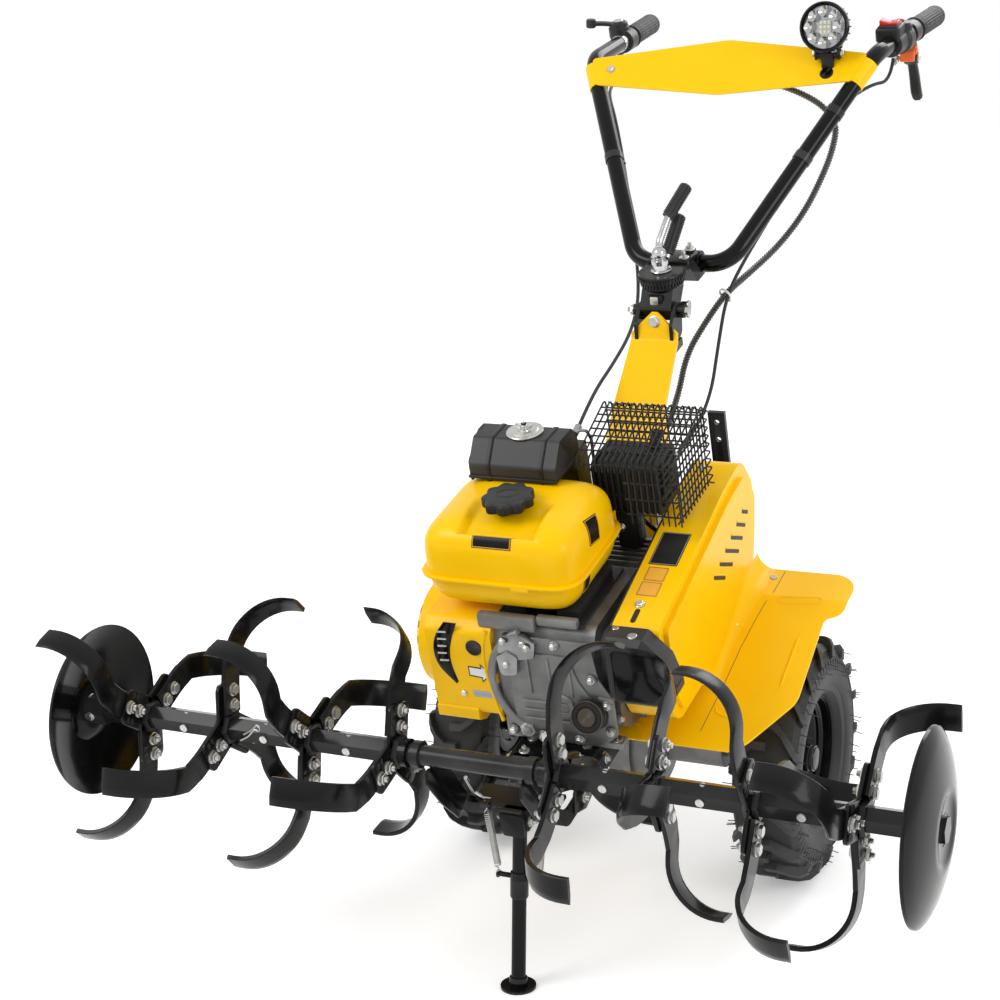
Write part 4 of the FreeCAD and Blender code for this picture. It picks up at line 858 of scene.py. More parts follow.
# Blower housing: dark curved vent strip, round plug, blank arrow and plate, screw.
def shroudTrim():
    v = {"front": -318.0, "low": 300, "squeeze": 0.72, "slots": 5, "slotStep": 13}
    front, low = v["front"], v["low"]
    toFront, ahead = alongY(front + 0.8), (0, -1, 0)
    outer = curve([(-160, 456, 0), (-178, 420, 0), (-186, 380, 0), (-180, 340, 0), (-156, 300, 0)], 6)
    inner = curve([(-152, 306, 0), (-158, 344, 0), (-158, 380, 0), (-150, 418, 0), (-138, 456, 0)], 6)
    bm = bmesh.new()
    slab(bm, [(p.x, low + (p.y - low) * v["squeeze"]) for p in outer + inner], toFront, 1.6, 0.5)
    piece("vent_strip", bm, barBlack, slot="plastic", angle=30)
    bm = bmesh.new()
    for k in range(v["slots"]):
        z = 340 + k * v["slotStep"]
        x = -172 + 1.6 * abs(k - 1)
        slot = [(x - 7, z), (x + 9, z + 1.5), (x + 9, z + 4.5), (x - 7, z + 3.5)]
        slab(bm, rounded(slot, 1.2), toFront, 2.3, 0.3)
    piece("vent_slots", bm, zinc, angle=30)
    bm = bmesh.new()
    plug = [(0, 13.4), (1.6, 13.4), (2.4, 12.4), (2.0, 10), (1.4, 9), (1.4, 0.01)]
    lathe(bm, plug, (-115, front, 371), ahead, 36)
    piece("housing_plug", bm, plastic)
    edge = [(-131, 336), (-131, 318), (-110, 316), (-110, 308), (-92, 324), (-110, 342), (-110, 335)]
    arrow = [(-129, 334), (-129, 320.4), (-108, 318.4), (-108, 312.4), (-95, 324), (-108, 337.6),
             (-108, 332.6)]
    for name, outline, thick, finish in (("_edge", edge, 1.4, plastic), ("", arrow, 1.7, labelWhite)):
        bm = bmesh.new()
        slab(bm, outline, toFront, thick)
        piece("blank_arrow" + name, bm, finish, angle=35)
    label("housing_plate", (-112, front - 0.3, 286), ahead, (0, 0, 1), (36, 12), labelGrey, zinc, 1.2)
    bolt("chassis", (-146, front, 284), ahead, 8, 3)
    bm = bmesh.new()  # rolled edge of the housing towards the crankcase
    edge = ((-92, 404), (-100, 370), (-101, 330), (-94, 280), (-86, 240))
    tube(bm, curve([(x, front + 1, z) for x, z in edge], 6), 3.2, 10)
    piece("housing_edge", bm, yellow, angle=40)


shroudTrim()


# Recoil starter at the right side: spoked air inlet, centre cap and the pull grip.
def recoil():
    v = {"at": (-242, -205, 322), "slots": 20, "face": 66.0, "rise": (12.0, 20.0)}
    run = Vector((*v["rise"], 0)).normalized()
    flat = Matrix.Rotation(-pi / 2, 4, "Y")
    cone = Matrix(((0, run.x, -run.y, 0), (0, run.y, run.x, v["face"]), (1, 0, 0, 0), (0, 0, 0, 1)))
    spoke, slot = [(-2.4, 45), (2.4, 45), (3.6, 62), (-3.6, 62)], [(-4.4, 3), (4.4, 3), (6, 20), (-6, 20)]
    bm = bmesh.new()
    for k in range(v["slots"]):
        turned = Matrix.Translation(v["at"]) @ Matrix.Rotation(2 * pi * k / v["slots"], 4, "X")
        slab(bm, rounded(spoke, 2), turned @ flat, 0.5)
        # The slots on the cone are dark patches: painted shade in the inlet's openings.
        slab(bm, rounded(slot, 2.4), turned @ cone, 0.4)
    piece("inlet_slots", bm, silencer, angle=30)
    bm = bmesh.new()
    ring = [(3, 67.4), (0.6, 67.6), (-1.4, 65.6), (-1.4, 63.4), (0.6, 63)]
    cap = [(7, 0.01), (7, 39.6), (-1, 39.2), (-2.4, 37), (-2.4, 14), (-4, 12), (-4, 0.01)]
    lathe(bm, ring, v["at"], (1, 0, 0), 72, closed=True)
    lathe(bm, cap, v["at"], (1, 0, 0), 56)
    piece("inlet_ring", bm, yellow)
    bm = bmesh.new()
    tube(bm, arcs([(-222, -152, 420), (-232, -164, 434), (-236, -182, 438)], [8]), 3, 8)
    handle = [(0, 0.01), (0, 7), (4, 8), (14, 6.5), (20, 8), (24, 7), (24, 0.01)]
    lathe(bm, handle, (-222, -152, 414), (-0.25, -0.3, 0.92), 20)
    piece("recoil_grip", bm, plastic)


recoil()


# Ribbed silencer: bands round the can, end ribs, outlet.
def mufflerCan():
    v = {"x": (8.0, 124.0), "y": (-84.0, 6.0), "z": (486.0, 578.0), "bands": 11, "endRibs": 6}
    (x0, x1), (y0, y1), (low, high) = v["x"], v["y"], v["z"]
    bm = bmesh.new()
    block(bm, (x0 + 3, y0 + 4, low + 3), (x1 - 5, y1 - 3, high - 4), 12, None, 3)
    section = [(y0, low), (y1, low), (y1, high - 2), (y0, high - 2)]
    for k in range(v["bands"]):
        x = x0 + 2 + (x1 - x0 - 14) * k / (v["bands"] - 1)
        slab(bm, rounded(section, 13), alongX(x), 6.2, 2.4)
    for k in range(v["endRibs"]):
        z = low + 14 + 12 * k
        rib = [(y0 + 12, z), (y1 - 12, z), (y1 - 12, z + 6), (y0 + 12, z + 6)]
        slab(bm, rounded(rib, 2.4), alongX(x1 - 6), 6, 2)
    seam = [(y0 + 2, low + 30), (y1 - 1, low + 30), (y1 - 1, low + 36), (y0 + 2, low + 36)]
    slab(bm, rounded(seam, 1), alongX(x0), x1 - x0, 0.8)
    block(bm, (30, -60, 410), (64, -20, low + 6), 5)
    tube(bm, arcs([(96, -20, high - 20), (96, -20, high + 8), (96, -2, high + 14)], [10]), 9, 20)
    for x in (30, 80):
        lathe(bm, [(0, 8), (3, 7), (3, 0.01)], (x, -40, high - 2), (0, 0, 1), 6)
    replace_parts(piece("silencer_can", bm, silencer), "muffler")
    bolt("chassis", (40, -62, 452), (0, -1, 0), 11, 6, 4)


mufflerCan()


# Wire basket round the silencer: close hoops, cross wires and a mesh end with bent-over tips.
def wireGuard():
    v = {"x": (4.0, 164.0), "y": (-114.0, 20.0), "low": 492.0, "high": 634.0, "slope": 34.0, "wire": 1.45,
         "hoops": 17,
         "aboveTank": 578.0, "tankEnd": 75.0}
    (x0, x1), (y0, y1) = v["x"], v["y"]
    low, high, knee = v["low"], v["high"], v["high"] - v["slope"]
    r = v["wire"]
    bm = bmesh.new()
    for k in range(v["hoops"]):
        x = x0 + (x1 - x0) * k / (v["hoops"] - 1)
        foot = low if x > v["tankEnd"] else v["aboveTank"]
        tube(bm, arcs([(x, y0, foot), (x, y0, knee), (x, y1, high), (x, y1, 560)], [10, 9], 4), r, 8)
    slope = v["slope"] / (y1 - y0)
    inset = 2 * r
    for y in range(-92, 20, 16):
        z = knee + slope * (y - y0) - inset
        tube(bm, [(x0 - 2, y, z), (x1 + 1, y, z)], r, 8)
    for z in (588, 560, 532, 506):
        tube(bm, [(x0 - 2 if z > v["aboveTank"] else v["tankEnd"], y0 + inset, z), (x1 + 1, y0 + inset, z)],
             r, 8)
    for z in (616, 598, 580, 562):
        tube(bm, [(x0 - 2, y1 - inset, z), (x1 + 1, y1 - inset, z)], r, 8)
    for y in range(-100, 20, 13):  # the end panel's grid
        top = knee + slope * (y - y0) - 5
        tube(bm, [(x1 - inset, y, low), (x1 - inset, y, top)], r, 8)
    for k in range(9):
        z = low + 4 + 14 * k
        start = y0 + 1 if z < knee else y0 + (z - knee) / slope + 4
        if start < y1 - 6:
            tube(bm, [(x1 - 2 * inset, start, z), (x1 - 2 * inset, y1 - 1, z)], r, 8)
    along, down = [], []
    for k in range(13):  # bent-over tips along the top's rear edge
        along += [(x0 + 6 + 12.6 * k, y1 - 2, high - 4), (x0 + 12 + 12.6 * k, y1 + 12, high - 18)]
    for k in range(10):  # and down the outer edge
        down += [(x1 - 3, y1 - 2, high - 10 - 14 * k), (x1 + 2, y1 + 11, high - 17 - 14 * k)]
    for zigzag in (along, down):
        tube(bm, arcs(zigzag, 2.2, 3), r, 6)
    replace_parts(piece("wire_guard", bm, silencer, slot="black", angle=40), "muffler_guard")
    for x, z in ((38, 549.5), (94, 549.5)):
        bolt("chassis", (x, y1 + 2.4, z), (0, 1, 0), 8, 3)


wireGuard()


# Fins and spark plug lead of the cylinder.
def cylinderTrim():
    v = {"fins": 9, "first": 290, "step": 13, "thick": 3.2}
    bm = bmesh.new()
    outline = rounded([(-74, -98), (79, -98), (79, -18), (-74, -18)], 9)
    for k in range(v["fins"]):
        slab(bm, outline, alongZ(v["first"] + v["step"] * k), v["thick"], 1.0)
    # The fins are cast; the lighter zinc finish on them is painted light that lifts the shade they sit in.
    piece("cylinder_fins", bm, zinc, slot="cast")
    bm = bmesh.new()
    tube(bm, arcs([(30, 16, 348), (46, 30, 352), (58, 34, 390), (40, 20, 420)], [8, 12]), 4, 10)
    lathe(bm, [(0, 8), (18, 8), (22, 6), (22, 0.01)], (26, 12, 346), (0.6, 0.75, 0.1), 16)
    piece("plug_lead", bm, plastic)


cylinderTrim()
print("engine made")


# Height of the belt case's upper face at a place along the machine: 421 at its front, 59 higher at the rear.
def caseTop(y):
    return 421 + (y + 292) * 59 / 312


# Belt case: louvres, blank labels on its upper face, adjusting slot and screws.
def beltCaseTrim():
    v = {"side": 190.0, "louvres": (55, 64, 68, 59, 45, 30), "first": (-75.0, 381.5), "step": (30.0, 6.9),
         "lipThick": 1.5, "labels": (-176, -209), "rivets": ((-240, 250), (76, 246), (122, 340), (138, 420))}
    slope = Vector((0.86, -0.51)).normalized()
    across = Vector((-slope.y, slope.x))
    bm, lips = bmesh.new(), bmesh.new()
    for k, length in enumerate(v["louvres"]):
        start = Vector(v["first"]) + Vector(v["step"]) * k
        a, b = start, start + slope * length
        corners = [a - across * 3.2, b - across * 3.2, b + across * 3.2, a + across * 3.2]
        # The louvres' openings are dark patches: painted shade.
        slab(bm, rounded([tuple(c) for c in corners], 2.8), alongX(v["side"] - 0.6), 1.0)
        tube(lips, [(v["side"] + 0.2, *(end + across * 4.4)) for end in (a, b)], v["lipThick"], 8)
    piece("case_louvre_shade", bm, silencer, angle=30)
    piece("case_louvre_lips", lips, yellow, angle=50)
    place = (0, -0.186, 0.983)
    label("case_plate", (141.5, -118, caseTop(-118) + 0.4), place, (0, 1, 0), (46, 75), black, labelGrey)
    for k, y in enumerate(v["labels"]):
        at = (139, y, caseTop(y) + 0.4)
        label("case_label_%d" % (k + 1), at, place, (0, 1, 0), (33, 31), orangeLabel, brown, 1.2)
    bm = bmesh.new()
    # The adjusting slot is a dark patch: painted shade in its opening.
    slab(bm, rounded(oblong(4, 15), 3.8), facing((137, -267, caseTop(-267) - 0.4), place, (0, 1, 0)), 1.0)
    piece("case_slot_shade", bm, silencer, angle=30)
    bolt("chassis", (136, -243, caseTop(-243)), place, 11, 5)
    bolt("chassis", (126, 84, 485.4), (0, -0.08, 1), 10, 4)
    rivet = [(0, 0.01), (0, 6.4), (2.2, 5.6), (3, 3.2), (3, 0.01)]
    for y, z in v["rivets"]:
        lathe(fasteners["chassis"], rivet, (104.8, y, z), (-1, 0, 0), 16)
    bolt("chassis", (150, -316, 422), (0, 0, 1), 11, 5)
    bolt("chassis", (118, -300, 422), (0, 0, 1), 8, 3.5)
    bm = bmesh.new()  # seam where the end box meets the case, and its pressed face
    tube(bm, [(213.6, -322, 346), (213.6, -300, 346)], 0.9, 6)
    face = [(118, 318), (176, 318), (196, 338), (196, 350), (168, 404), (118, 404)]
    slab(bm, rounded(face, 8), alongY(-331), 2.4, 1.4)
    piece("end_box_face", bm, barBlack)


beltCaseTrim()


# Height of the mudguards' upper face: level at the rear, sloping down ahead of the bend.
def fenderTop(y):
    return 279.1 - max(0.0, 50 - y) * 90 / 304


# Mudguards: a hollow blend into the case, pressed ribs and oval, a seam line, screws.
def fenderTrim():
    v = {"side": 190.15, "shoulder": 182.4, "wide": 30.0, "narrow": 12.0, "panelLow": 250.0, "panelFrom": -60,
         "leftScrews": ((223, 102), (194, -18), (84, -215)), "rightScrews": ((-223, 102), (-210, 0))}
    bm, rings = bmesh.new(), []
    for y in (128, 110, 90, 70, 50, 30, 10, -10, -30, -50, -62, -80, -100, -120, -138):
        z = fenderTop(y)
        share = min(1.0, max(0.0, (50 - y) / 110))
        reach = v["wide"] + (v["narrow"] - v["wide"]) * share
        beside = y < v["panelFrom"]
        top = max(z + reach, v["panelLow"]) if beside else z + reach
        ring = [Vector((v["shoulder"] if beside else v["side"], y, z - 2))]
        for k in range(8):
            a = pi / 2 * (1 - k / 7)
            ring.append(Vector((v["side"] + reach * (1 - sin(a)), y, z + 0.1 + (top - z) * (1 - cos(a)))))
        rings.append(ring + [Vector((v["side"] + reach, y, z - 2))])
    grow(bm, rings)
    piece("fender_blend", bm, yellow, angle=60)
    bm = bmesh.new()
    rib = [(303 - 0.03 * (-20 - y), y) for y in range(-20, -140, -8)]
    tube(bm, [(x, y, fenderTop(y) - 0.6) for x, y in rib], lambda k: 3.4 if 1 < k < len(rib) - 2 else 1.6, 10)
    oval = rounded([(250, 34), (319, 42), (319, 56), (250, 48)], 6.5, 6)
    tube(bm, [(x, y, fenderTop(y) + 0.1) for x, y in oval + oval[:1]], 1.0, 8, caps=False)
    mark = [(211, -178), (214, -187), (224, -192), (246, -197)]
    tube(bm, curve([(x, y, fenderTop(y) + 0.1) for x, y in mark], 5), 1.3, 8)
    tube(bm, [(60, -226, fenderTop(-226)), (100, -228, fenderTop(-228))], 1.6, 8)
    piece("fender_ribs", bm, yellow, angle=60)
    bm = bmesh.new()
    seam = [(236, 124), (236, 60), (230, 36), (224, 0), (216, -60), (210, -140), (200, -225)]
    tube(bm, [(x, y, fenderTop(y) + 0.05) for x, y in seam], 0.5, 6)
    piece("fender_seam", bm, brown, angle=60)
    for x, y in v["leftScrews"]:
        bolt("chassis", (x, y, fenderTop(y) - 0.2), (0, 0 if y > 50 else -0.29, 1), 9, 4)
    for x, y in v["rightScrews"]:
        bolt("chassis", (x, y, 278.9), (0, 0, 1), 9, 4)


fenderTrim()


# Bolts of the column, frame and carrier, with the carrier's plates and hook.
def frameTrim():
    v = {"plate": 4, "gusset": 5, "standPlate": 3, "hookThick": 3}
    gable = Vector((0, -0.955, 0.29))
    bolt("chassis", (0, 262.6, 656), gable, 15, 6)
    for side in (-1, 1):
        for y, z in ((110, 420), (150, 470)):
            bolt("chassis", (side * 49, y, z), (side, 0, 0), 12, 6, 4)
        for x, y, z, stud in ((66, -340, 190, 5), (66, -300, 180, 5), (72, -404, 184, 6), (72, -376, 182, 6)):
            bolt("chassis", (side * x, y, z), (side, 0, 0), 15, 7, stud)
        for y in (-340, -306):
            bolt("chassis", (side * 46, y, 203.7), (0, 0, 1), 13, 6, 4)
    for x in (-28, 28):
        bolt("chassis", (x, -366, 176), (0, -1, 0), 15, 7, 6)
    bm = bmesh.new()  # gusset, plates beside the arms, bearing rings and the stand's plate
    slab(bm, rounded(oblong(64, 14, 0, 182), 4), alongY(-366), v["gusset"], 1.5)
    arm = [(-583, 340), (-560, 330), (-500, 215), (-520, 205), (-560, 262), (-590, 318)]
    web = [(-430, 214), (-372, 200), (-366, 168), (-400, 160), (-440, 178)]
    for side, x in ((-1, -76), (1, 72)):
        for outline in (arm, web):
            slab(bm, rounded(outline, 8), alongX(x), v["plate"], 1.2)
        bearing = [(0, 16), (0, 20), (12, 20), (12, 16)]
        lathe(bm, bearing, (side * 84, rotorY, rotorZ), (side, 0, 0), 40, closed=True)
    slab(bm, rounded([(-17.6, 168), (17.6, 168), (20, 208), (-20, 208)], 4), alongY(-496), v["standPlate"], 1)
    piece("carrier_plates", bm, black)
    bm = bmesh.new()
    tube(bm, arcs([(-62, -500, 268), (-66, -478, 226), (-52, -474, 212), (-40, -476, 214)], [10, 6]),
         v["hookThick"], 10)
    piece("carrier_hook", bm, chrome, angle=40)
    for side in (-1, 1):
        bolt("chassis", (side * 21, -480, 188), (side, 0, 0), 13, 6, 5)


frameTrim()


# Front stand: coil springs with hooked ends, collars, hinge sleeve and spring pegs.
def standTrim():
    v = {"top": (0, -469, 188), "foot": (0, -566, -63), "lug": 0.36, "turns": 26, "steps": 14, "hook": 9.0,
         "coil": 4.9, "wire": 1.05}
    top, foot = Vector(v["top"]), Vector(v["foot"])
    lugAt = top + (foot - top) * v["lug"]
    total, hook, wire = v["turns"] * v["steps"], v["hook"], v["wire"]
    bm = bmesh.new()
    for side in (-1, 1):
        upper, lower = Vector((side * 47, -482, 205.6)), Vector((side * 33, lugAt.y, lugAt.z + 6))
        ahead, length = (lower - upper).normalized(), (lower - upper).length
        u = ahead.orthogonal().normalized()
        w = ahead.cross(u)
        line = [upper, upper + ahead * (hook * 0.5)]
        for k in range(total + 1):
            a = 2 * pi * k / v["steps"]
            on = upper + ahead * (hook + (length - 2 * hook) * k / total)
            line.append(on + (u * cos(a) + w * sin(a)) * v["coil"])
        line += [lower - ahead * (hook * 0.5), lower]
        tube(bm, line, wire, 6)
        for at, out in ((upper, -1), (lower, 1)):
            turns = (2 * pi * j / 16 for j in range(14))
            tube(bm, [at + ahead * out * (4 + 4 * cos(b)) + u * 4 * sin(b) for b in turns], wire, 6)
    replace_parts(piece("stand_spring_coils", bm, zinc, body="front_stand", angle=60), "stand_springs")
    bm = bmesh.new()
    run = (foot - top).normalized()
    lathe(bm, [(0, 11.2), (0, 14), (26, 14), (29, 12.6), (29, 11.2)], top + run * 100, run, 32, closed=True)
    lathe(bm, [(0, 11.1), (0, 13.6), (7, 14.4), (9, 12), (9, 11.1)], foot - run * 16, run, 32, closed=True)
    peg = [(0, 0.01), (0, 6.2), (2.4, 6.2), (3, 5.4), (3, 0.01)]
    for side in (-1, 1):
        lathe(bm, peg, (side * 33.6, lugAt.y, lugAt.z), (side, 0, 0), 18)
    sleeve = [(-12.5, 5.2), (-12.5, 14), (-10, 15), (10, 15), (12.5, 14), (12.5, 5.2)]
    lathe(bm, sleeve, top, (1, 0, 0), 32, closed=True)
    piece("stand_collars", bm, black, body="front_stand")


standTrim()
print("frame, carrier and stand made")


# Tilting head: toothed discs, tilt bolt with its cam, clamp over the bar, lock rods with knobbly grips.
swivelY = 318.0
barY, barZ = 415.0, 697.0  # where the saddle grips the bar


# A toothed disc on the swivel's axis.
def teeth(bm, low, thick, inner, outer, count=40):
    outline = []
    for k in range(count):
        for share, r in ((0.0, inner), (0.28, outer), (0.62, outer), (0.9, inner)):
            a = 2 * pi * (k + share) / count
            outline.append((r * cos(a), swivelY + r * sin(a)))
    slab(bm, outline, alongZ(low), thick)


def headTrim():
    v = {"count": 56, "sides": 32, "knob": 11.3, "between": 9.6, "cuff": 10.0, "tip": 0.9, "rod": 6.0}
    bm = bmesh.new()
    teeth(bm, 705.5, 6.3, 34.6, 37.4)
    lathe(bm, [(0, 30), (0, 36), (2.4, 37), (2.4, 30)], (0, swivelY, 701.6), (0, 0, 1), 48, closed=True)
    block(bm, (-12, 277, 676), (12, 286, 696), 2.4)
    piece("head_teeth", bm, barBlack, body="handlebar_head", angle=30)
    bm = bmesh.new()
    slab(bm, rounded(oblong(8, 15), 7.8), facing((46.4, 300, 664), (1, 0, 0.0), (0, 0.45, 1)), 3.4, 1.2)
    lathe(bm, [(0, 0.01), (0, 9), (5, 8.4), (6, 6), (6, 0.01)], (46.6, 292, 664), (1, 0, 0), 24)
    piece("tilt_cam", bm, chrome, body="handlebar_head", slot="zinc", angle=30)
    bolt("handlebar_head", (-44, 290, 664), (-1, 0, 0), 15, 7, 5)
    bm = bmesh.new()
    slab(bm, rounded(oblong(7, 7), 2), facing((-2, 277.4, 687), (0, -1, 0.1)), 2, 0.8)
    piece("head_latch", bm, zinc, body="handlebar_head", angle=30)

    bm = bmesh.new()
    teeth(bm, 713, 6.2, 37.6, 40.2)
    lathe(bm, [(0, 30), (0, 38.2), (2, 39), (4.6, 38), (4.6, 30)], (0, swivelY, 719.6), (0, 0, 1), 48,
          closed=True)
    band = [(22, a) for a in range(-30, 211, 12)] + [(15.4, a) for a in range(210, -31, -12)]
    clamp = [(barY + q * cos(radians(a)), barZ + q * sin(radians(a))) for q, a in band]
    slab(bm, clamp, alongX(-35), 70, 1.4)
    block(bm, (-37, 346, 722), (37, 398, 729), 2.4)
    for x in (-24, 24):
        block(bm, (x - 10, 384, 716), (x + 10, 402, 732), 3)
    piece("bar_saddle", bm, black, body="handlebar", angle=30)
    for x in (-25, 25):
        bolt("handlebar", (x, 362, 729), (0, 0, 1), 13, 7, 6)
        bolt("handlebar", (x, 392, 731), (0, 0.2, 1), 13, 7, 6)
        bolt("handlebar", (x, 432, 684), (0, 1, 0), 12, 6)
    bm, grip = bmesh.new(), bmesh.new()
    base = (0, swivelY, 724.3)
    lathe(bm, [(0, 7.2), (0, 17), (2, 17.6), (3.4, 16.6), (4, 13.6), (12, 12.6), (13, 14.6), (20, 14.6),
               (21, 12),
               (24, 8), (24, 7.2)], base, (0, 0, 1), 40, closed=True)
    ball = [(19 + 12 * (1 - cos(pi * k / 12)), max(0.01, 12.4 * sin(pi * k / 12))) for k in range(13)]
    lathe(bm, ball, base, (0, 0, 1), 32)
    count, sides = v["count"], v["sides"]

    def knobbly(k):
        beyond = (k / count - v["tip"]) / 0.1
        end = sqrt(max(0.0, 1 - beyond ** 2)) * 0.75 + 0.25 if beyond > 0 else 1.0
        out = []
        for s in range(sides):
            knob = v["knob"] if s // 2 % 2 == 0 and k % 3 else v["between"]
            r = knob * end if 2 < k < count - 2 else v["cuff"] * end
            out.append((r * cos(2 * pi * s / sides), r * sin(2 * pi * s / sides)))
        return out

    for rod, bends, low, high in (
            ([(0, 0, 738), (0, 4, 772), (7, 32, 800), (10, 46, 812)], [16, 10], (7, 38, 804),
             (30, 84, 843.6)),
            ([(0, 0, 733), (4, 16, 738), (9, 40, 762)], [12], (6, 22, 746), (18, 68, 797.6))):
        tube(bm, arcs([(x, swivelY + y, z) for x, y, z in rod], bends, 8), v["rod"], 18)
        a, b = (Vector(end) + Vector((0, swivelY, 0)) for end in (low, high))
        sweep(grip, [a.lerp(b, k / count) for k in range(count + 1)], knobbly)
    obj = piece("lock_rods", bm, chrome, body="handlebar", angle=40)
    piece("lock_grips", grip, gripRubber, body="handlebar", angle=30)
    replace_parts(obj, "lock_lever")


headTrim()


# The straight rear stretch of the bar: places are distances from its end, out of reach by a radius.
def barEnd(side):
    tip, knee = Vector((side * 283.0, 1092.0, 913.0)), Vector((side * 263.0, 746.0, 950.0))
    return tip, (knee - tip).normalized()


# Rubber sleeves with ribs along them, broken into bands, and a collar at the inner end.
def handGrips():
    v = {"sides": 96, "ribbed": range(5, 39), "groove": 0.9, "band": 11}
    stops = [(-6.4, 10), (-6.2, 15), (-4.6, 18), (-2, 19.3),
             (2, 19.8)] + [(6 + 3 * k, 19.6) for k in range(33)]
    stops += [(108, 19.2), (112, 17.6), (118, 17.4), (120, 21.6), (124, 22.2), (127, 21.6), (128, 17)]
    bm = bmesh.new()

    def shape(k):
        out = []
        for s in range(v["sides"]):
            low = v["groove"] if k in v["ribbed"] and s % 4 in (2, 3) and k % v["band"] else 0.0
            r, a = stops[k][1] - low, 2 * pi * s / v["sides"]
            out.append((r * cos(a), r * sin(a)))
        return out

    for side in (-1, 1):
        tip, back = barEnd(side)
        sweep(bm, [tip + back * at for at, _ in stops], shape, up=(0, 0, 1))
    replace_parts(piece("grip_sleeves", bm, gripRubber, body="handlebar", angle=28), "handlebar_grips")


handGrips()


# A ring round the bar between two distances from its end.
def ringOn(bm, side, start, end, radius, lip=1.2):
    v = {"bore": 15.1, "sides": 40}
    tip, back = barEnd(side)
    lathe(bm, [(start, v["bore"]), (start, radius - lip), (start + lip, radius), (end - lip, radius),
               (end, radius - lip), (end, v["bore"])], tip, back, v["sides"], closed=True)


# A point beside a control, from its own place.
def beside(at, x=0.0, y=0.0, z=0.0):
    return (at.x + x, at.y + y, at.z + z)


leverFlat = [(-1, -0.55), (-0.7, -1), (0.7, -1), (1, -0.55), (1, 0.55), (0.7, 1), (-0.7, 1), (-1, 0.55)]


# Stop switch, light switch, collars and tape.
def switches():
    v = {"stopAt": 247, "lightAt": 209}
    tip, back = barEnd(1)
    at, drum = tip + back * v["stopAt"], tip + back * v["lightAt"]
    bm = bmesh.new()
    ringOn(bm, 1, 228, 266, 22.5)
    block(bm, beside(at, -26, -22, 6), beside(at, 18, 22, 32), 5, None, 3)
    block(bm, beside(at, -22, -18, 30), beside(at, 14, 18, 35), 2.4)
    block(bm, beside(at, -20, -24, -20), beside(at, 12, 22, 8), 6)
    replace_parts(piece("stop_switch_case", bm, plastic, body="handlebar"), "switch_box")
    bm = bmesh.new()
    wedge = [(-16, 0), (16, 0), (16, 5), (2, 4), (-16, 9)]
    slab(bm, rounded(wedge, 1.4), alongY(at.y - 11, at.x - 4, at.z + 34.6, 1), 22, 1.6)
    piece("stop_rocker", bm, red, body="handlebar")
    bm = bmesh.new()
    ringOn(bm, 1, 192, 224, 26.4, lip=5)
    ringOn(bm, 1, 186, 194, 19)
    lathe(bm, [(0, 20), (18, 19.4), (22, 16), (23, 12), (23, 0.01)], drum + Vector((2, 0, 8)), (0.1, 0.1, 1),
          36)
    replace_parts(piece("light_switch_drum", bm, plastic, body="handlebar"), "light_switch")
    bm = bmesh.new()
    block(bm, beside(drum, -5, -3, 29), beside(drum, 9, 5, 35.5), 2)
    piece("light_thumb", bm, red, body="handlebar")
    bm = bmesh.new()
    for side in (-1, 1):
        ringOn(bm, side, 128.4, 137, 16.6, lip=0.8)
    ringOn(bm, 1, 169, 185, 16.2, lip=0.6)
    ringOn(bm, -1, 177, 200, 16.2, lip=0.6)
    piece("bar_collars", bm, chrome, body="handlebar", slot="zinc")
    bm = bmesh.new()
    ringOn(bm, 1, 129.4, 134, 17.4, lip=0.6)
    piece("bar_tape", bm, ochre, body="handlebar")


# Clutch lever on the left with its latch and cable adjuster.
def clutchLever():
    v = {"at": 153, "wide": 9.6, "taper": 2.6, "widest": 0.62, "thick": 6.2}
    tip, back = barEnd(1)
    at = tip + back * v["at"]
    bm = bmesh.new()
    ringOn(bm, 1, 138, 168, 21)
    bracket = [(-16, -8), (14, -10), (18, -34), (10, -58), (-6, -60), (-14, -34)]
    slab(bm, rounded(bracket, 6), alongX(at.x - 9, at.y, at.z), 18, 3)
    hinge = Vector(beside(at, 2, -4, -46))
    lathe(bm, [(-12, 0.01), (-12, 10), (-10, 11), (10, 11), (12, 10), (12, 0.01)], hinge, (1, 0, 0), 28)
    lever = curve([beside(hinge, *step) for step in ((0, 4, -8), (1, 10, -34), (2, 14, -66), (3, 20, -82))],
                  6)

    def blade(k):
        end = 0.7 if k == len(lever) - 1 else 1
        wide = (v["wide"] - v["taper"] * abs(k / len(lever) - v["widest"])) * end
        return [(a * wide, b * v["thick"]) for a, b in leverFlat]

    sweep(bm, lever, blade, up=(1, 0, 0))
    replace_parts(piece("clutch_lever_blade", bm, plastic, body="handlebar"), "clutch_lever")
    bm = bmesh.new()
    latch = [(-30, -26), (-2, -20), (4, -30), (2, -44), (-6, -40), (-8, -34), (-22, -38), (-26, -46),
             (-34, -44)]
    slab(bm, rounded(latch, 2.6), alongX(at.x - 12, at.y, at.z), 26, 2.4)
    tube(bm, [beside(at, -14, -16, -30), beside(at, 16, -16, -30)], 5.4, 16)
    piece("clutch_latch", bm, orange, body="handlebar")
    for side in sideName:
        bolt("handlebar", beside(hinge, side * 12), (side, 0, 0), 10, 4)
    bm = bmesh.new()
    barrel = [(0, 4.6), (3, 5.4), (14, 5.4), (15, 4), (22, 3.8), (23, 0.01), (0, 0.01)]
    lathe(bm, barrel, beside(at, -16, -30, -36), (-0.1, -1, -0.3), 18)
    piece("clutch_adjuster", bm, zinc, body="handlebar")


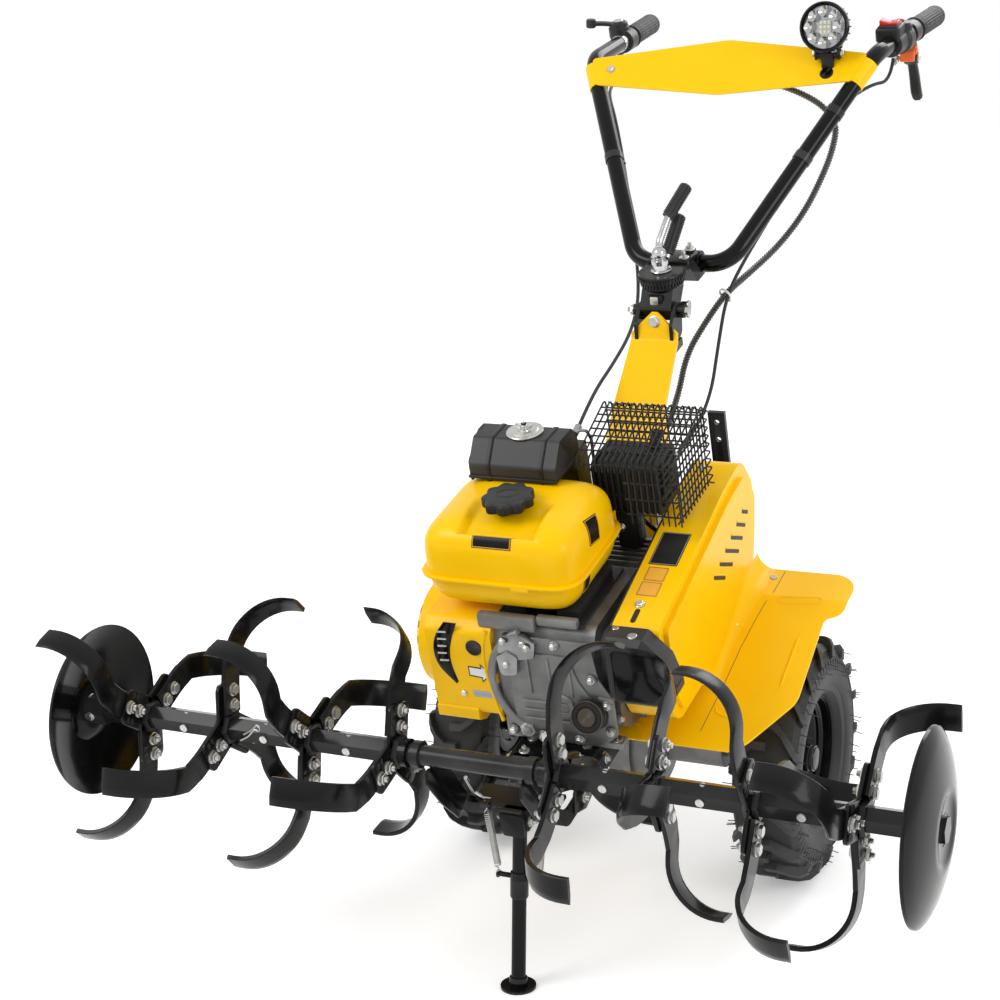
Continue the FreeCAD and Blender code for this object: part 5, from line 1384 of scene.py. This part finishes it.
# Throttle on the right: drum with a cap, thumb lever and cable stop.
def throttle():
    v = {"at": 158, "armWide": 6.4, "armThick": 3.4}
    tip, back = barEnd(-1)
    at = tip + back * v["at"]
    middle = beside(at, -10)
    bm = bmesh.new()
    ringOn(bm, -1, 140, 176, 22)
    drum = [(6, 0.01), (6, 19), (10, 20), (26, 20), (28, 18), (34, 17), (36, 14), (36, 0.01)]
    lathe(bm, drum, middle, (0, 0, 1), 36)
    block(bm, beside(at, -26, -16, -26), beside(at, -2, 14, -4), 5)
    arm = curve([beside(at, *step) for step in ((-12, 0, 30), (-36, -10, 36), (-62, -22, 40))], 6)
    sweep(bm, arm, lambda k: [(a * v["armWide"], b * v["armThick"]) for a, b in leverFlat], up=(0, 1, 0))
    knob = [(-6, 0.01), (-6, 8), (-4, 9.4), (8, 9.4), (10, 8), (10, 0.01)]
    lathe(bm, knob, beside(at, -58, -20, 38), (0.1, 0.1, 1), 24)
    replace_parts(piece("throttle_drum", bm, plastic, body="handlebar"), "throttle_lever")
    bm = bmesh.new()
    lathe(bm, [(36, 0.01), (36, 9), (38, 9.6), (40, 7), (40, 0.01)], middle, (0, 0, 1), 24)
    stop = [(0, 4.4), (3, 5), (12, 5), (13, 3.6), (20, 3.4), (20, 0.01), (0, 0.01)]
    lathe(bm, stop, beside(at, -14, -14, -14), (0, -1, -0.35), 18)
    piece("throttle_cap", bm, chrome, body="handlebar", slot="zinc")
    bolt("handlebar", beside(at, -26, 0, -15), (-1, 0, 0), 9, 4)


switches()
clutchLever()
throttle()


# LED work lamp: bezel, finned housing, reflector cups round a square of chips, clear cover, bracket.
def workLamp():
    v = {"centre": (190.0, 715.0, 1010.0), "tilt": 18, "fins": 22, "cups": 8, "cupRing": 25.6,
         "chipThick": 1.2}
    centre, tilt = Vector(v["centre"]), radians(v["tilt"])
    ahead = Vector((0, -cos(tilt), sin(tilt)))
    face = centre + ahead * 14
    place = facing(face, ahead)
    bm = bmesh.new()
    bezel = [(-4, 38), (0, 39), (1, 41), (-1, 43), (-8, 43.2), (-12, 42), (-12, 36), (-4, 36)]
    lathe(bm, bezel, face, ahead, 72, closed=True)
    lathe(bm, [(-10, 0.01), (-10, 39), (-26, 38), (-30, 34), (-36, 24), (-40, 22), (-40, 0.01)], face, ahead,
          56)
    outline = rounded([(-4, -43), (12, -34), (21.4, -26), (22, -13), (-4, -13)], 1)
    for k in range(v["fins"]):
        turned = place @ Matrix.Rotation(2 * pi * k / v["fins"], 4, "Z")
        slab(bm, outline, turned @ alongY(-1.2, 20, sense=1), 2.4, 0.5)
    block(bm, beside(centre, -24, -6, -54), beside(centre, 24, 14, -44), 3)
    for side in (-1, 1):
        block(bm, beside(centre, side * 20 - 2.5, -8, -56), beside(centre, side * 20 + 2.5, 16, -34), 2)
    block(bm, beside(centre, -11, -10, -84), beside(centre, 11, -1, -42), 2.4)
    knob = [(0, 0.01), (0, 13), (4, 12), (6, 9), (6, 0.01)]
    lathe(bm, knob, beside(centre, 0, -15, -78), (0, -0.607, 0.794), 28)
    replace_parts(piece("lamp_housing", bm, barBlack, body="handlebar"), "work_lamp")
    for side in (-1, 1):
        bolt("handlebar", beside(centre, side * 23, 2, -46), (side, 0, 0), 11, 5)
    bm, chips = bmesh.new(), bmesh.new()
    lathe(bm, [(-9.6, 0.01), (-9.6, 38.4), (-4.2, 38.4), (-4.6, 37.6), (-8.4, 36), (-8.6, 0.01)], face,
          ahead, 64)
    cup = [(-3.2, 10.4), (-3.6, 9.8), (-5.2, 8.2), (-7.2, 5.2), (-8.4, 3.2), (-8.6, 3.2), (-8.6, 10.4)]
    for k in range(v["cups"]):
        a = 2 * pi * k / v["cups"]
        u, w = v["cupRing"] * cos(a), v["cupRing"] * sin(a)
        lathe(bm, cup, place @ Vector((u, w, 0)), ahead, 24, closed=True)
        slab(chips, oblong(2.2, 2.2, u, w), place @ alongZ(-8.6), v["chipThick"], 0.3)
    slab(bm, rounded(oblong(11.5, 12.5), 2), place @ alongZ(-8.8), 2, 0.6)
    piece("lamp_reflectors", bm, lens, body="handlebar", angle=40)
    for u in (-7, 0, 7):
        for w in (-8, 0, 8):
            slab(chips, oblong(2.3, 2.6, u, w), place @ alongZ(-7.2), v["chipThick"], 0.3)
    piece("lamp_chips", chips, ledChip, body="handlebar", angle=40)


workLamp()


# The cross panel's screw, on the slope of the bar's middle stretch.
kneeY, kneeZ = 746.0, 950.0
along = Vector((0, kneeY - barY, kneeZ - barZ)).normalized()
out = Vector((0, -along.z, along.y))
bolt("handlebar", Vector((-214, kneeY, kneeZ)) - along * 32 + out * 17.3, out, 11, 5)


# Routes of the held cables, from the controls down to where they go in.
conduitPoints = [(92, 726, 906), (150, 730, 884), (196, 722, 840), (194, 690, 800), (182, 655, 762),
                 (158, 612, 712),
                 (122, 566, 668), (84, 512, 640), (60, 452, 628), (34, 404, 592), (10, 360, 550),
                 (0, 326, 486),
                 (0, 240, 452), (0, 112, 442), (0, 112, 376.6)]
clutchPoints = [(258, 880, 900), (262, 838, 872), (244, 776, 888), (206, 708, 872), (160, 628, 802),
                (122, 556, 736),
                (86, 492, 676), (64, 440, 628), (62, 380, 560), (62, 320, 492),
                (44, 256, 446), (28, 180, 434), (24, 112, 432), (24, 112, 376.6)]
throttlePoints = [(-262, 880, 906), (-262, 820, 880), (-238, 740, 888), (-200, 672, 862), (-150, 570, 784),
                  (-106, 470, 704), (-80, 400, 640), (-68, 320, 610), (-62, 220, 600), (-62, 110, 590),
                  (-60, 20, 560)]


# Points of the smooth NURBS line through a held cable's route.
def route(points, steps=14):
    data = bpy.data.curves.new("route", "CURVE")
    data.dimensions = "3D"
    data.resolution_u = steps
    line = data.splines.new("NURBS")
    line.points.add(len(points) - 1)
    for spot, at in zip(line.points, points):
        spot.co = (*at, 1)
    line.order_u = 3
    line.use_endpoint_u = True
    carrier = bpy.data.objects.new("route", data)
    mesh = bpy.data.meshes.new_from_object(carrier)
    spots = [v.co.copy() for v in mesh.vertices]
    bpy.data.objects.remove(carrier)
    bpy.data.meshes.remove(mesh)
    bpy.data.curves.remove(data)
    return spots


# A line's points again, at even steps.
def evenly(line, step):
    spots, left = [line[0]], step
    for a, b in zip(line, line[1:]):
        run = (b - a).length
        while run > left:
            a = a + (b - a).normalized() * left
            spots.append(a)
            run = (b - a).length
            left = step
        left -= run
    return spots + [line[-1]]


# One sheath in two lengths, split at its point nearest to split.
def heldCable(name, points, radius, replaced, held, split, corrugated=False):
    v = {"groove": 1.5, "ringStep": 2.5, "step": 7.0, "blendFrom": 0.12, "blendTo": 0.88}
    line = evenly(route(points), v["ringStep"] if corrugated else v["step"])
    clip, near = (min(range(len(line)), key=lambda k: (line[k] - Vector(at)).length) for at in (held, split))
    upper, lower = line[:near + 1], line[near:]
    ends = [lower[0].lerp(lower[-1], share) for share in (v["blendFrom"], v["blendTo"])]
    finish = conduitPlastic if corrugated else gripRubber
    parts = []
    for half, spots, above, below, (start, end) in (
            ("_upper", upper, "handlebar", "handlebar_head", (line[clip], line[near])),
            ("_lower", lower, "handlebar_head", "chassis", ends)):
        bm = bmesh.new()
        if corrugated:
            tube(bm, spots, lambda k: radius if k % 2 else radius - v["groove"], 14)
        else:
            tube(bm, spots, radius, 12)
        obj = piece(name + half, bm, finish, body=None, slot="plastic", angle=40)
        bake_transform(obj)
        parts.append(obj)
    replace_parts(parts[0], replaced)


heldCable("conduit", conduitPoints, 6.2, "conduit", (222, 653, 850), (61, 449, 627), True)
heldCable("clutch_sheath", clutchPoints, 3.0, "clutch_cable", (136, 584, 760), (63, 440, 628))
heldCable("throttle_sheath", throttlePoints, 3.0, "throttle_cable", (-146, 562, 776), (-92, 434, 671))
bm = bmesh.new()  # tie round the conduit and the clutch cable
tieAt, tieAhead = Vector((60, 444, 628)), Vector((24, 58, 26)).normalized()
lathe(bm, [(-2, 10.6), (2, 10.6), (2, 11.8), (-2, 11.8)], tieAt, tieAhead, 28, closed=True)
block(bm, beside(tieAt, 7, -8, -11), beside(tieAt, 12, -3, -6), 1)
piece("cable_tie", bm, tieWhite, body="handlebar_head", angle=40)
bm = bmesh.new()  # the clutch cable's adjuster beside the bar
start, end = Vector((156, 622, 796)), Vector((140, 592, 768))
far = (end - start).length
barrel = [(-6, 3.2), (-4, 5.2), (8, 5.6), (10, 6.4), (far - 8, 6.4), (far - 6, 5), (far + 8, 4.4),
          (far + 9, 3.2)]
lathe(bm, barrel, start, end - start, 20)
piece("cable_adjuster", bm, zinc, body="handlebar")
print("handlebar and cables made")


for body, bm in fasteners.items():
    piece(body + "_fasteners", bm, zinc, body=body, angle=30)
print("fasteners made")

studio = {"floorHalf": 60.0, "floorTone": 0.97, "floorLift": 0.3, "skyLevel": 0.72, "lens": 72.25,
          "sensor": 36.0,
          "clipEnd": 200.0, "eye": (1200.8, -2568.9, 1988.2)}
bm = bmesh.new()
bmesh.ops.create_grid(bm, x_segments=1, y_segments=1, size=studio["floorHalf"])
mesh = bpy.data.meshes.new("floor")
bm.to_mesh(mesh)
bm.free()
floor = bpy.data.objects.new("floor", mesh)
bpy.context.collection.objects.link(floor)
floorPaint = bpy.data.materials.new("paleFloor")
floorPaint.use_nodes = True
floorShader = floorPaint.node_tree.nodes["Principled BSDF"].inputs
for key, value in (("Base Color", (*[studio["floorTone"]] * 3, 1)), ("Roughness", 0.9),
                   ("Specular IOR Level", 0.1),
                   ("Emission Color", (1, 1, 1, 1))):
    floorShader[key].default_value = value
mesh.materials.append(floorPaint)

scene = bpy.context.scene
world = bpy.data.worlds.new("studio")
scene.world = world
world.use_nodes = True


# Links a strength that is high for what the camera sees, straight or by way of metal and glass.
def whiteFor(tree, socket, others, seen):
    ray = node(tree, "LightPath", {}).outputs
    last = ray["Is Camera Ray"]
    for name in ("Is Transmission Ray", "Is Glossy Ray"):
        last = node(tree, "Math", {0: last, 1: ray[name]}, operation="MAXIMUM").outputs[0]
    level = node(tree, "MapRange", {"To Min": others, "To Max": seen, "Value": last})
    tree.links.new(level.outputs[0], socket)


whiteFor(floorPaint.node_tree, floorShader["Emission Strength"], 0.0, studio["floorLift"])
sky = world.node_tree.nodes["Background"].inputs
whiteFor(world.node_tree, sky["Strength"], studio["skyLevel"], 1.0)
sky["Color"].default_value = (1, 1, 1, 1)

softboxes = {  # place, aimed at, size, watts
    "keyLight": ((-2.6, -3.0, 3.4), (0, -0.1, 0.6), 2.2, 95),
    "sideLight": ((3.4, -1.2, 2.0), (0, 0.0, 0.6), 1.6, 40),
    "backLight": ((0.6, 3.2, 3.0), (0, 0.2, 0.8), 2.0, 50),
}
for name, (at, aim, size, watts) in softboxes.items():
    light = bpy.data.lights.new(name, "AREA")
    light.shape = "SQUARE"
    light.size = size
    light.energy = watts
    lamp = bpy.data.objects.new(name, light)
    bpy.context.collection.objects.link(lamp)
    lamp.matrix_world = facing(at, Vector(at) - Vector(aim))

camera = bpy.data.objects.new("camera", bpy.data.cameras.new("camera"))
bpy.context.collection.objects.link(camera)
camera.data.lens = studio["lens"]
camera.data.sensor_width = studio["sensor"]
camera.data.clip_end = studio["clipEnd"]
right, down = Vector((0.90284, 0.40378, -0.14782)), Vector((0.07349, -0.48362, -0.87219))
ahead = Vector((-0.42365, 0.77658, -0.46631))
turn = Matrix((right, -down, -ahead)).transposed()
camera.matrix_world = Matrix.Translation(toWorld @ Vector(studio["eye"])) @ (Matrix.Rotation(lean, 3,
        "X") @ turn).to_4x4()
scene.camera = camera
scene.view_settings.view_transform = "Standard"
print("stage, light and camera made")
